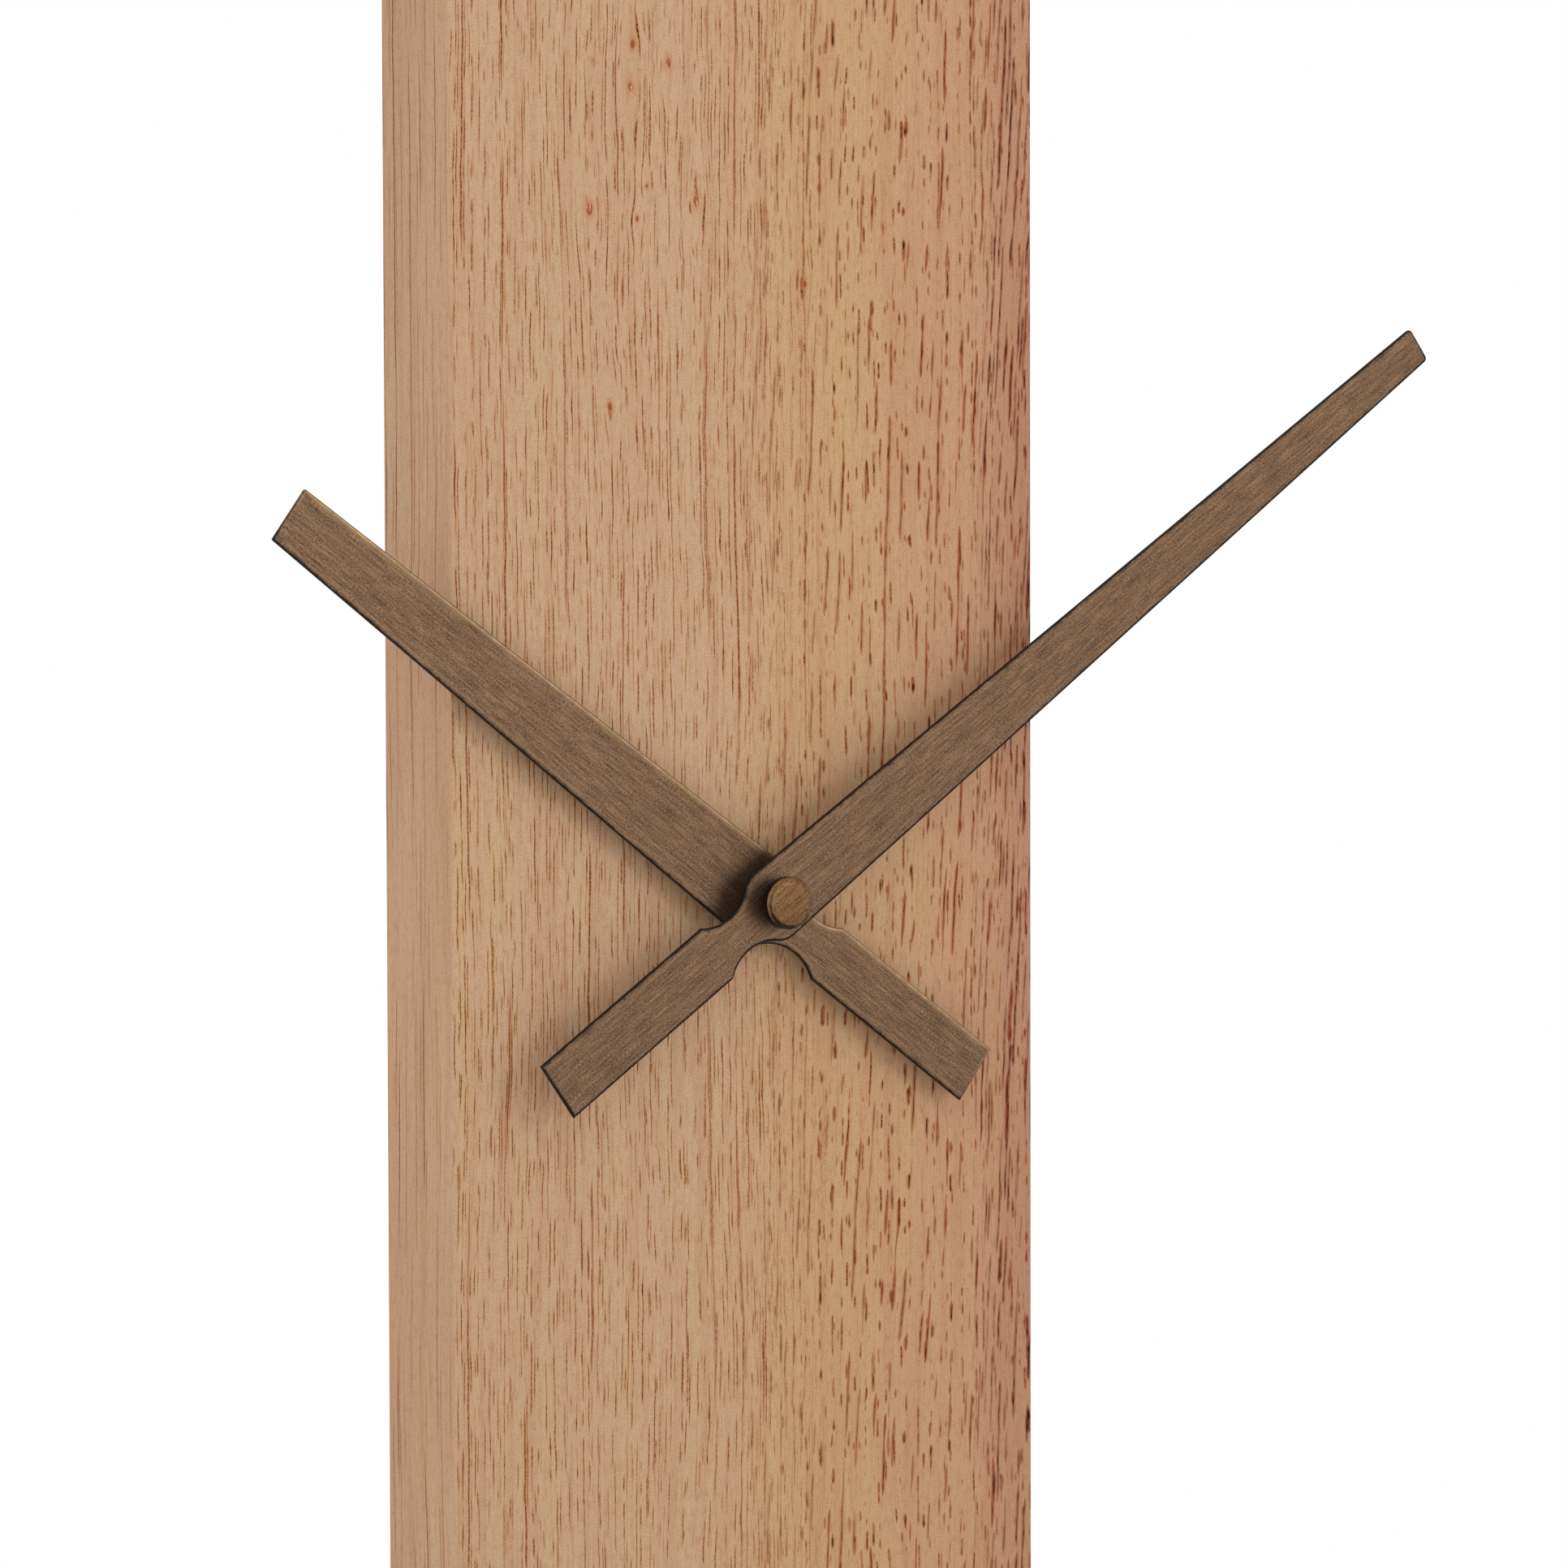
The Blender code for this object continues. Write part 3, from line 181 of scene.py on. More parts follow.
def pore_lines(graph, across, along, dots, spacing, seed, length, cut, halo, core):
    """Long pores. Returns (halo, core): spindles of stain, and the dark line inside each, broken by dots.

    The board is divided into strips, spacing wide, and each holds one line at a random place. Along it, the
    line shows where a noise of about the given length is above cut. spacing, length and the half widths halo
    and core are in millimetres.
    """
    cells = graph.madd(across, 1 / spacing, seed)
    index = graph.calc("FLOOR", cells)
    place = graph.node("ShaderNodeTexWhiteNoise", {"W": index}, noise_dimensions="1D")
    strength = graph.node("ShaderNodeTexWhiteNoise", {"W": graph.add(index, 0.5)}, noise_dimensions="1D")
    offset = graph.calc("SUBTRACT", graph.calc("FRACT", cells), graph.madd(place, 0.7, 0.15))
    distance = graph.mul(graph.calc("ABSOLUTE", offset), spacing)
    own_row = graph.mul(index, 13.73)       # far enough apart for neighbouring lines to differ
    presence = graph.noise(graph.join(own_row, graph.mul(along, 1 / length)), 1.0, 1.0, 0.6, "2D")
    taper = graph.calc("MAXIMUM", graph.mul(graph.add(presence, -cut), 9.0), 0.0)
    level = graph.calc("MINIMUM", taper, 1.0)
    width = graph.madd(level, halo, 0.02)
    halo_line = graph.mul(graph.step(distance, width, 0.0), graph.step(level, 0.0, 0.4))
    dotted = graph.mul(dots, graph.step(taper, 0.5, 1.3))
    core_line = graph.mul(graph.step(distance, core, core * 0.35), dotted)
    strength = graph.madd(strength, 0.55, 0.6)
    return graph.mul(halo_line, strength), graph.mul(core_line, strength)


def tinted(graph, factor, base, tint):
    """Multiply a colour by a tint where the factor says."""
    return graph.mix(factor, base, graph.mix(1.0, base, (*tint, 1.0), "MULTIPLY"))


PIN_KNOTS = (        # across, above the hand axis, size, in millimetres
    (-29, 188, 1.3), (-29.5, 179, 1.5), (-39, 184, 0.8), (-20, 184, 1.5), (-40, 152, 1.7), (-25.5, 157, 0.8),
    (-28, 150, 0.8), (-13, 154, 1.5), (-35, 109, 1.2), (15, 136, 1.0), (-46, -214, 1.3), (24, -262, 1.1),
)


def pin_knots(graph, across, along):
    """Pin knots of the front board. Returns the line coordinate that flows round them, and their depth.

    The grain swerves over a wider and longer patch than the knot itself. Both are ellipses.
    """
    flowing = across
    knots = 0.0
    for x, above_axis, size in PIN_KNOTS:
        from_x = graph.add(across, -x)
        from_z = graph.add(along, -(above_axis + AXIS_Z / MM))
        near_x = graph.mul(from_x, 1 / (2.1 * size))
        near_z = graph.mul(from_z, 1 / (6.5 * size))
        reach = graph.madd(near_x, near_x, graph.mul(near_z, near_z))
        push = graph.mul(graph.calc("EXPONENT", graph.mul(reach, -1.0)), -0.72)
        flowing = graph.madd(from_x, push, flowing)
        own_x = graph.mul(from_x, 1 / (1.05 * size))
        own_z = graph.mul(from_z, 1 / (1.9 * size))
        own = graph.calc("SQRT", graph.madd(own_x, own_x, graph.mul(own_z, own_z)))
        knots = graph.calc("MAXIMUM", graph.step(own, 1.25, 0.2), knots)
    return flowing, knots


def timber(name, across_axes, along_axis=2, figured=False):
    """Pale red-brown hardwood with stained pores. across_axes are the weights of x, y and z.

    On the body's boards the weights differ, so that the grain coordinate still advances round an arris.
    figured adds the front board's pin knots, tones and dashes.
    """
    graph = Graph(name, roughness=0.6)
    graph.set("Specular IOR Level", 0.1)
    millimetres = graph.node("ShaderNodeVectorMath", {0: graph.position, 3: 1000.0}, operation="SCALE")
    along = graph.split(millimetres)[along_axis]
    across = graph.node("ShaderNodeVectorMath", {0: millimetres, 1: across_axes}, 1, operation="DOT_PRODUCT")
    across = graph.add(across, -across_axes[1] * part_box("front_panel")[0].y / MM)

    def grain(source, width, length, detail=2.0, roughness=0.55):
        vector = graph.join(graph.mul(source, 1 / width), graph.mul(along, 1 / length))
        return graph.noise(vector, 1.0, detail, roughness, "2D")

    flowing, knots = pin_knots(graph, across, along) if figured else (across, 0.0)
    drift = grain(across, 30, 130, 1.0)
    wiggle = grain(across, 8, 9, 1.0)
    warped = graph.madd(graph.add(drift, -0.5), 5.0, graph.madd(graph.add(wiggle, -0.5), 0.6, flowing))
    dots = graph.step(grain(across, 0.5, 0.8, 1.0), 0.38, 0.56)
    dashes = graph.step(grain(across, 0.7, 3.0, 1.0), 0.40, 0.60)

    if figured:
        base = graph.mix(graph.step(across, -15, 18), rgb(199, 165, 134), rgb(198, 161, 124))
        base = graph.mix(graph.step(graph.madd(drift, 12.0, across), 28, 62), base, rgb(195, 154, 122))
        base = graph.mix(graph.step(graph.madd(drift, 14.0, across), 62, 82), base, rgb(184, 139, 111))
        base = tinted(graph, graph.step(along, -150, -330), base, (0.965, 0.955, 0.94))
    else:
        # Painted light: the plain boards' timber is lighter than the front's, to make up for the weaker light on
        # the sides.
        base = graph.mix(graph.step(drift, 0.4, 0.6), rgb(205, 166, 134), rgb(209, 173, 141))

    bands = grain(warped, 3.5, 150, 2.0, 0.6)
    base = tinted(graph, graph.step(bands, 0.48, 0.68), base, (0.96, 0.92, 0.88))
    base = tinted(graph, graph.step(bands, 0.50, 0.34), base, (1.0, 1.03, 0.97))
    fibres = grain(warped, 0.4, 25, 3.0, 0.65)
    base = tinted(graph, graph.step(fibres, 0.45, 0.78), base, (0.88, 0.80, 0.70))
    mottle = grain(across, 1.1, 2.6, 3.0, 0.7)
    base = tinted(graph, graph.step(mottle, 0.46, 0.75), base, (0.90, 0.84, 0.78))
    specks = grain(across, 0.25, 0.35)
    base = tinted(graph, graph.step(specks, 0.42, 0.72), base, (0.82, 0.73, 0.66))

    amber, orange = (0.78, 0.50, 0.27), (0.70, 0.38, 0.18)
    red, purple = (0.62, 0.32, 0.20), (0.56, 0.36, 0.30)
    brown, rust, black = rgb(80, 26, 4), rgb(74, 16, 0), rgb(34, 0, 0)
    if figured:
        left = graph.step(across, 30, -6)
        right = graph.step(across, -16, 26)
        edge = graph.step(graph.madd(drift, 10.0, across), 60, 72)
        leaning = graph.madd(along, -0.05, warped)
        layers = [      # lines, breaks, spacing, seed, length, cut, halo, core, where, halo tint, core colour
            (warped, dots, 1.25, 1000, 14, 0.49, 0.28, 0.12, left, amber, brown),
            (warped, dots, 2.1, 2000, 8, 0.50, 0.34, 0.14, left, amber, brown),
            (warped, dots, 8.5, 3000, 60, 0.50, 0.46, 0.18, left, orange, brown),
            (warped, dots, 1.8, 4000, 6, 0.56, 0.52, 0.20, right, orange, rust),
            (warped, dashes, 3.6, 4500, 7, 0.575, 0.70, 0.34, right, red, black),
            (leaning, dashes, 3.2, 5000, 16, 0.53, 0.70, 0.16, right, red, rust),
            (leaning, dashes, 1.5, 6000, 14, 0.46, 0.62, 0.22, edge, purple, black),
        ]
    else:
        layers = [
            (warped, dots, 2.2, 1000, 40, 0.50, 0.26, 0.10, 0.8, orange, brown),
            (warped, dots, 6.0, 2000, 70, 0.48, 0.42, 0.17, 0.9, red, brown),
        ]
    for lines, breaks, *sizes, weight, halo_tint, core_colour in layers:
        halo, core = pore_lines(graph, lines, along, breaks, *sizes)
        base = tinted(graph, graph.mul(halo, weight), base, halo_tint)
        base = graph.mix(graph.mul(graph.mul(core, weight), 0.95), base, core_colour)
    patchy_knots = graph.mul(knots, graph.step(mottle, 0.25, 0.5))
    base = graph.mix(graph.mul(patchy_knots, 0.7), base, rgb(184, 116, 70))
    base = graph.mix(graph.mul(graph.step(patchy_knots, 0.8, 1.0), 0.8), base, rgb(128, 66, 34))
    graph.set("Base Color", base)
    graph.set("Roughness", graph.madd(fibres, 0.12, 0.52))
    graph.bump(fibres, 0.25, 0.06 * MM)
    return graph.material


# Metals and plastics

def brushed(name, colour, dark, light, roughness, stretch, metallic=0.85, depth=0.6, spun_about=None):
    """Brushed metal: fine streaks along one axis, and dark and bright specks. depth is their contrast.

    stretch multiplies the noise's scale on each axis. spun_about is a height: the streaks then run round the
    Y axis through it, and stretch is for the radius and the two sides. Returns the graph and its base colour.
    """
    coarse_scale, streak_scale, speck_scale = 330.0, 1250.0, 4200.0
    graph = Graph(name, roughness=roughness, metallic=metallic)
    position = graph.position
    if spun_about is not None:
        x, _, z = graph.split(position)
        height = graph.add(z, -spun_about)
        radius = graph.calc("SQRT", graph.madd(x, x, graph.mul(height, height)))
        around = [graph.mul(graph.calc("DIVIDE", side, radius), 2 * MM) for side in (x, height)]
        position = graph.join(radius, *around)
    drawn_out = graph.node("ShaderNodeMapping", {0: position, "Scale": stretch})
    streaks = graph.noise(drawn_out, streak_scale, 2.0, 0.6)
    coarse = graph.noise(drawn_out, coarse_scale, 2.0, 0.5)
    short = graph.node("ShaderNodeMapping", {0: drawn_out, "Scale": (0.4, 0.4, 3.0)})
    specks = graph.noise(short, speck_scale, 1.0, 0.6)
    base = graph.mix(graph.mul(graph.step(coarse, 0.4, 0.75), depth * 0.5), colour, light)
    base = graph.mix(graph.mul(graph.step(coarse, 0.6, 0.25), depth * 0.5), base, dark)
    base = graph.mix(graph.mul(graph.step(streaks, 0.42, 0.72), depth * 1.3), base, dark)
    base = graph.mix(graph.mul(graph.step(streaks, 0.52, 0.28), depth * 0.8), base, light)
    base = graph.mix(graph.mul(graph.step(specks, 0.52, 0.68), depth * 1.5), base, dark)
    base = graph.mix(graph.mul(graph.step(specks, 0.46, 0.3), depth), base, light)
    graph.set("Base Color", base)
    graph.set("Roughness", graph.madd(streaks, 0.25, roughness - 0.12))
    graph.bump(streaks, 0.2, 0.04 * MM)
    return graph, base


BRONZE = rgb(121, 92, 69)
BRONZE_DARK = rgb(46, 32, 25)
BRONZE_LIGHT = rgb(164, 133, 103)
BRONZE_RUBBED = rgb(146, 115, 80)


def patinated(name, colour, wear_and_highlight_colour, depth, spun_about=None, roughness=0.42):
    """Antique bronze. The attribute is -1 on patinated sides, 0 on the face, 1 where rubbed through; on the nut it
    also carries painted highlight and painted shade.
    """
    stretch = (3.0, 3.0, 0.14) if spun_about is None else (7.0, 1.0, 1.0)
    graph, base = brushed(name, colour, BRONZE_DARK, BRONZE_LIGHT, roughness, stretch, depth=depth,
                          spun_about=spun_about)
    wear_and_painted_light = graph.node("ShaderNodeAttribute", {}, 2, attribute_name="wear_and_painted_light", attribute_type="GEOMETRY")
    patchy = graph.noise(graph.position, 400.0, 3.0, 0.7)
    level = graph.madd(graph.add(patchy, -0.5), 1.2, wear_and_painted_light)
    # On the nut the lighter colours are painted highlight, and the darkest is also painted shade.
    base = graph.mix(graph.mul(graph.step(level, 0.25, 1.0), 0.7), base, wear_and_highlight_colour)
    base = graph.mix(graph.mul(graph.step(level, 1.1, 1.9), 0.8), base, rgb(206, 180, 144))
    base = graph.mix(graph.step(level, -0.3, -1.0), base, rgb(34, 27, 24))
    graph.set("Base Color", base)
    return graph.material


def rod_bronze():
    drawn = (3.2, 3.2, 0.14)
    return brushed("rod_bronze", BRONZE, BRONZE_DARK, BRONZE_LIGHT, 0.36, drawn, depth=0.22)[0].material


def brass():
    return brushed("turned_brass", rgb(205, 170, 105), rgb(150, 116, 64), rgb(222, 190, 128), 0.3,
                   (0.3, 3.0, 0.3), metallic=1.0, depth=0.3)[0].material


STEEL = (rgb(190, 192, 196), rgb(140, 142, 146), rgb(214, 216, 220))       # mean, dark and light


def steel(name, stretch, spun_about=None):
    return brushed(name, *STEEL, 0.34, stretch, metallic=1.0, depth=0.3, spun_about=spun_about)[0].material


def grained(name, colour, roughness, grain, depth, tint=0.12):
    """A moulded or fibrous surface with fine grain, in millimetres, in its colour, gloss and relief."""
    graph = Graph(name, colour[:3], roughness)
    fine = graph.noise(graph.position, 1000 / grain, 3.0, 0.6)
    cloud = graph.noise(graph.position, 60.0, 2.0, 0.5)
    base = graph.mix(graph.step(fine, 0.35, 0.75), colour, scale_colour(colour, 1 - tint))
    base = graph.mix(graph.step(cloud, 0.4, 0.7), base, scale_colour(colour, 1 + tint))
    graph.set("Base Color", base)
    graph.set("Roughness", graph.madd(fine, 0.2, roughness - 0.1))
    graph.bump(fine, 0.3, depth)
    return graph.material


def wound_copper(name, axis):
    """Enamelled wire wound about an axis: fine ridges that follow one another along it."""
    graph = Graph(name, (0.6, 0.25, 0.12), 0.28, 1.0, coat=0.4)
    position = graph.split(graph.position)[axis]
    ridge = graph.calc("SINE", graph.mul(position, 2 * math.pi / (0.22 * MM)))
    level = graph.madd(ridge, 0.5, 0.5)
    # Painted shade in the grooves between turns, and painted highlight on each turn's crest.
    graph.set("Base Color", graph.mix(level, rgb(120, 56, 30), rgb(208, 124, 80)))
    graph.bump(level, 0.5, 0.06 * MM)
    return graph.material


def battery_print():
    """A plain shrink sleeve: dark body, and a copper-coloured band at the positive end."""
    graph = Graph("battery_sleeve", (0.05, 0.055, 0.065), 0.28, 0.2, coat=0.5)
    x = graph.split(graph.position)[0]
    band = graph.step(x, 11.8 * MM, 12.2 * MM)
    tip = graph.step(x, 24.6 * MM, 24.8 * MM)
    scuffs = graph.noise(graph.position, 900.0, 3.0, 0.7)
    base = graph.mix(band, rgb(44, 48, 56), rgb(176, 120, 72))
    base = graph.mix(tip, base, rgb(196, 196, 198))
    base = graph.mix(graph.step(scuffs, 0.62, 0.75), base, rgb(92, 94, 98))
    graph.set("Base Color", base)
    graph.set("Metallic", graph.add(graph.mul(band, 0.5), 0.2))
    graph.set("Roughness", graph.madd(scuffs, 0.2, 0.2))
    return graph.material


def printed_board():
    """Green solder mask over a grid of faint tracks."""
    graph = Graph("printed_board", (0.02, 0.12, 0.05), 0.35, coat=0.3)
    x, _, z = graph.split(graph.position)
    lines = []
    for axis, pitch in ((x, 1.9 * MM), (z, 2.4 * MM)):
        phase = graph.calc("FRACT", graph.mul(axis, 1 / pitch))
        lines.append(graph.step(graph.calc("ABSOLUTE", graph.add(phase, -0.5)), 0.12, 0.08))
    tracks = graph.calc("MAXIMUM", *lines)
    patches = graph.step(graph.noise(graph.position, 420.0, 0.0), 0.48, 0.52)
    level = graph.mul(tracks, patches)
    graph.set("Base Color", graph.mix(level, rgb(22, 84, 46), rgb(58, 132, 74)))
    graph.bump(level, 0.4, 0.04 * MM)
    return graph.material


# Piece makers

def new_object(name, mesh, materials):
    obj = bpy.data.objects.new(name, mesh)
    bpy.context.scene.collection.objects.link(obj)
    for material in materials:
        obj.data.materials.append(material)
    return obj


def finish_mesh(name, bm, materials, angle=SHARP_ANGLE):
    """A bmesh as a new object, smooth except at edges sharper than an angle."""
    bmesh.ops.recalc_face_normals(bm, faces=bm.faces)
    mesh = bpy.data.meshes.new(name)
    bm.to_mesh(mesh)
    bm.free()
    mesh.shade_smooth()
    mesh.set_sharp_from_angle(angle=angle)
    return new_object(name, mesh, materials)


def stands_for(obj, node):
    """The piece replaces a CAD node: it hides the node and joins the same body."""
    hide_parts(node)
    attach(obj, BODY_OF[node])
    return obj


def loft(first, second):
    """A closed solid between two facing loops with the same count."""
    bm = bmesh.new()
    ring_a = [bm.verts.new(point) for point in first]
    ring_b = [bm.verts.new(point) for point in second]
    bm.faces.new(ring_a)
    bm.faces.new(ring_b)
    for i in range(len(ring_a)):
        j = (i + 1) % len(ring_a)
        bm.faces.new((ring_a[i], ring_a[j], ring_b[j], ring_b[i]))
    bmesh.ops.recalc_face_normals(bm, faces=bm.faces)
    return bm


def block(x, y, z):
    """A box from its three ranges."""
    first = [(x[i], y[0], z[k]) for i, k in ((0, 0), (1, 0), (1, 1), (0, 1))]
    return loft(first, [(corner_x, y[1], corner_z) for corner_x, _, corner_z in first])


def ease_edges(bm, width):
    """Round every sharp edge."""
    sharp = [e for e in bm.edges if e.calc_face_angle(0) > SHARP_ANGLE]
    bmesh.ops.bevel(bm, geom=sharp, offset=width, offset_type="OFFSET", segments=4, profile=0.5,
                    affect="EDGES", clamp_overlap=True)
    return bm


def turned(profile, segments=64):
    """A piece turned about the Y axis from a closed (radius, y) profile. Radius 0 lies on the axis."""
    bm = bmesh.new()
    rings = []
    for radius, y in profile:
        if radius == 0:
            rings.append([bm.verts.new((0, y, 0))])
            continue
        ring = []
        for i in range(segments):
            angle = 2 * math.pi * i / segments
            ring.append(bm.verts.new((radius * math.cos(angle), y, radius * math.sin(angle))))
        rings.append(ring)
    for ring_a, ring_b in zip(rings, rings[1:] + rings[:1]):
        if len(ring_a) == 1 and len(ring_b) == 1:
            continue
        for i in range(segments):
            j = (i + 1) % segments
            corners = [ring_a[i % len(ring_a)], ring_a[j % len(ring_a)]]
            corners += [ring_b[j % len(ring_b)], ring_b[i % len(ring_b)]]
            bm.faces.new(list(dict.fromkeys(corners)))
    return bm


def rounded(profile, radius, steps=4):
    """A closed (radius, y) profile with its corners rounded, except those on the axis."""
    points = []
    count = len(profile)
    for i, here in enumerate(profile):
        here = Vector(here)
        if here.x == 0:
            points.append(tuple(here))
            continue
        before = Vector(profile[i - 1]) - here
        after = Vector(profile[(i + 1) % count]) - here
        reach = min(radius, before.length * 0.45, after.length * 0.45)
        start = here + before.normalized() * reach
        end = here + after.normalized() * reach
        for step in range(steps + 1):
            share = step / steps
            points.append(tuple((1 - share) ** 2 * start + 2 * share * (1 - share) * here + share ** 2 * end))
    return points


def boolean(obj, cutters, operation="DIFFERENCE"):
    """Cut bmeshes out of an object, or keep what it shares with them, and shade the result smooth."""
    for number, bm in enumerate(cutters):
        mesh = bpy.data.meshes.new("cutter")
        bm.to_mesh(mesh)
        bm.free()
        cutter = new_object(f"cutter_{number}", mesh, [])
        modifier = obj.modifiers.new("cut", "BOOLEAN")
        modifier.operation = operation
        modifier.solver = "EXACT"
        modifier.object = cutter
        depsgraph = bpy.context.evaluated_depsgraph_get()
        result = bpy.data.meshes.new_from_object(obj.evaluated_get(depsgraph), depsgraph=depsgraph)
        obj.modifiers.clear()
        obj.data = result
        bpy.data.objects.remove(cutter)
    obj.data.shade_smooth()
    obj.data.set_sharp_from_angle(angle=SHARP_ANGLE)
    return obj


def disc_cutter(radius, y_range, x=0.0, z=0.0, segments=64):
    bm = turned([(0, y_range[0]), (radius, y_range[0]), (radius, y_range[1]), (0, y_range[1])], segments)
    bmesh.ops.translate(bm, vec=(x, 0, z), verts=bm.verts)
    bmesh.ops.recalc_face_normals(bm, faces=bm.faces)
    return bm


def size_of(node):
    """Centre and size of a CAD node's box."""
    low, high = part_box(node)
    return (low + high) / 2, high - low


def lay_along(bm, axis, place):
    """Turn a piece made about Y so that it runs along another axis, and move it."""
    turn = {"x": Matrix.Rotation(math.radians(-90), 4, "Z"), "z": Matrix.Rotation(math.radians(90), 4, "X")}
    if axis != "y":
        bmesh.ops.transform(bm, matrix=turn[axis], verts=bm.verts)
    bmesh.ops.translate(bm, vec=place, verts=bm.verts)
    return bm


def soften(obj, width):
    """Round the sharp edges of a piece with a Bevel modifier."""
    bevel = obj.modifiers.new("edges", "BEVEL")
    bevel.width = width
    bevel.segments = 2
    bevel.limit_method = "ANGLE"
    bevel.angle_limit = math.radians(40)
    bevel.harden_normals = True
    return obj


# Timber body

def body_frame():
    """Outer box of the timber body, and the thickness of its boards."""
    boxes = [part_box(n) for n in ("left_side", "right_side", "top_end", "bottom_end")]
    low = Vector([min(box[0][i] for box in boxes) for i in range(3)])
    high = Vector([max(box[1][i] for box in boxes) for i in range(3)])
    low.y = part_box("front_panel")[0].y
    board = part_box("front_panel")[1].y - low.y
    return low, high, board


def rounded_box(low, high):
    """The body's outer form with all its edges rounded."""
    return ease_edges(block(*zip(low, high)), ARRIS_RADIUS)


def build_body(front_timber, side_timber, end_timber):
    """Five mitred boards. Each is its wedge of the rounded outer form, so that the arrises close."""
    low, high, board = body_frame()
    out = 2 * MM
    middle_x, middle_z = (low.x + high.x) / 2, (low.z + high.z) / 2
    half_x, half_z = (high.x - low.x) / 2, (high.z - low.z) / 2

    def rectangle(inset, y):
        corners = ((-1, -1), (1, -1), (1, 1), (-1, 1))
        return [(middle_x + a * (half_x - inset), y, middle_z + b * (half_z - inset)) for a, b in corners]

    def side_loop(side, inset):
        x = middle_x + side * (half_x - inset)
        back = high.y + out
        near, far = low.y + inset, back
        bottom, top = low.z + inset, high.z - inset
        return [(x, near, bottom), (x, far, bottom), (x, far, top), (x, near, top)]

    def end_loop(side, inset):
        z = middle_z + side * (half_z - inset)
        near, far = low.y + inset, high.y + out
        reach = half_x - inset
        return [(middle_x - reach, near, z), (middle_x + reach, near, z),
                (middle_x + reach, far, z), (middle_x - reach, far, z)]

    front_wedge = loft(rectangle(-out, low.y - out), rectangle(board, low.y + board))
    wedges = {"front_panel": (front_wedge, front_timber)}
    for name, side in (("left_side", -1), ("right_side", 1)):
        wedges[name] = (loft(side_loop(side, -out), side_loop(side, board)), side_timber)
    for name, side in (("bottom_end", -1), ("top_end", 1)):
        wedges[name] = (loft(end_loop(side, -out), end_loop(side, board)), end_timber)

    case_low, case_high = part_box("movement_case")
    margin = 3 * MM
    hole_radius, slot_half_length = 4.3 * MM, 42 * MM
    pocket_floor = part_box("mounting_gasket")[0].y - 0.3 * MM
    pocket = block((case_low.x - margin, case_high.x + margin), (pocket_floor, low.y + board + margin),
                   (case_low.z - margin, case_high.z + margin))
    hole = disc_cutter(hole_radius, (low.y - margin, pocket_floor + margin), z=AXIS_Z)
    slot_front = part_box("pendulum_rod")[0].y - margin
    slot = block((-slot_half_length, slot_half_length), (slot_front, high.y + margin),
                 (low.z - margin, low.z + board + margin))
    for name, (wedge, material) in wedges.items():
        obj = finish_mesh(f"{name}_board", rounded_box(low, high), [material])
        cuts = {"front_panel": [pocket, hole], "bottom_end": [slot]}.get(name, [])
        boolean(obj, [wedge], "INTERSECT")
        boolean(obj, cuts)
        stands_for(obj, name)


# Hands

def arc(centre, radius, start, end, steps):
    angles = [start + (end - start) * i / steps for i in range(steps + 1)]
    return [(centre[0] + radius * math.cos(a), centre[1] + radius * math.sin(a)) for a in angles]


def hand_outline(inset, length, tail, tip_half, hub_half, tail_half, waist, corner, shoulder_radius,
                 tip_radius):
    """Outline of a hand that points up, drawn in by an inset: a blade, a scalloped waist, a straight tail.

    waist is the narrowest point of the scallop, and corner is where the scallop meets the tail.
    """
    reach = waist[1] - corner[1]
    rise = corner[0] - waist[0]
    waist_radius = (reach ** 2 + rise ** 2) / (2 * rise)
    waist_centre = (waist[0] + waist_radius, waist[1])
    shoulder_x = hub_half - shoulder_radius
    across = waist_centre[0] - shoulder_x
    along = math.sqrt((shoulder_radius + waist_radius) ** 2 - across ** 2)
    shoulder_centre = (shoulder_x, waist[1] + along)
    meeting = math.atan2(-along, across)
    corner_x = corner[0] - inset - waist_centre[0]
    corner_z = -math.sqrt((waist_radius + inset) ** 2 - corner_x ** 2)
    waist_end = math.atan2(corner_z, corner_x) % (2 * math.pi)

    def between(start, end):
        """A point on a straight edge, a little way in from its start."""
        share = END_FADE / math.dist(start, end)
        return (start[0] + (end[0] - start[0]) * share, start[1] + (end[1] - start[1]) * share)

    tip = max(tip_radius - inset, SHARP_CORNER)
    tip_centre = (tip_half - inset - tip, length - inset - tip)
    half = arc(tip_centre, tip, math.pi / 2, 0, 6)
    shoulder = arc(shoulder_centre, shoulder_radius - inset, 0, meeting, 12)
    half += [between(half[-1], shoulder[0])] + shoulder
    half += arc(waist_centre, waist_radius + inset, meeting + math.pi, waist_end, 20)[1:]
    corner_point = (tail_half - inset, inset - tail)
    half += [between(corner_point, half[-1]), corner_point]
    other = [(-x, z) for x, z in reversed(half)]
    return half + other


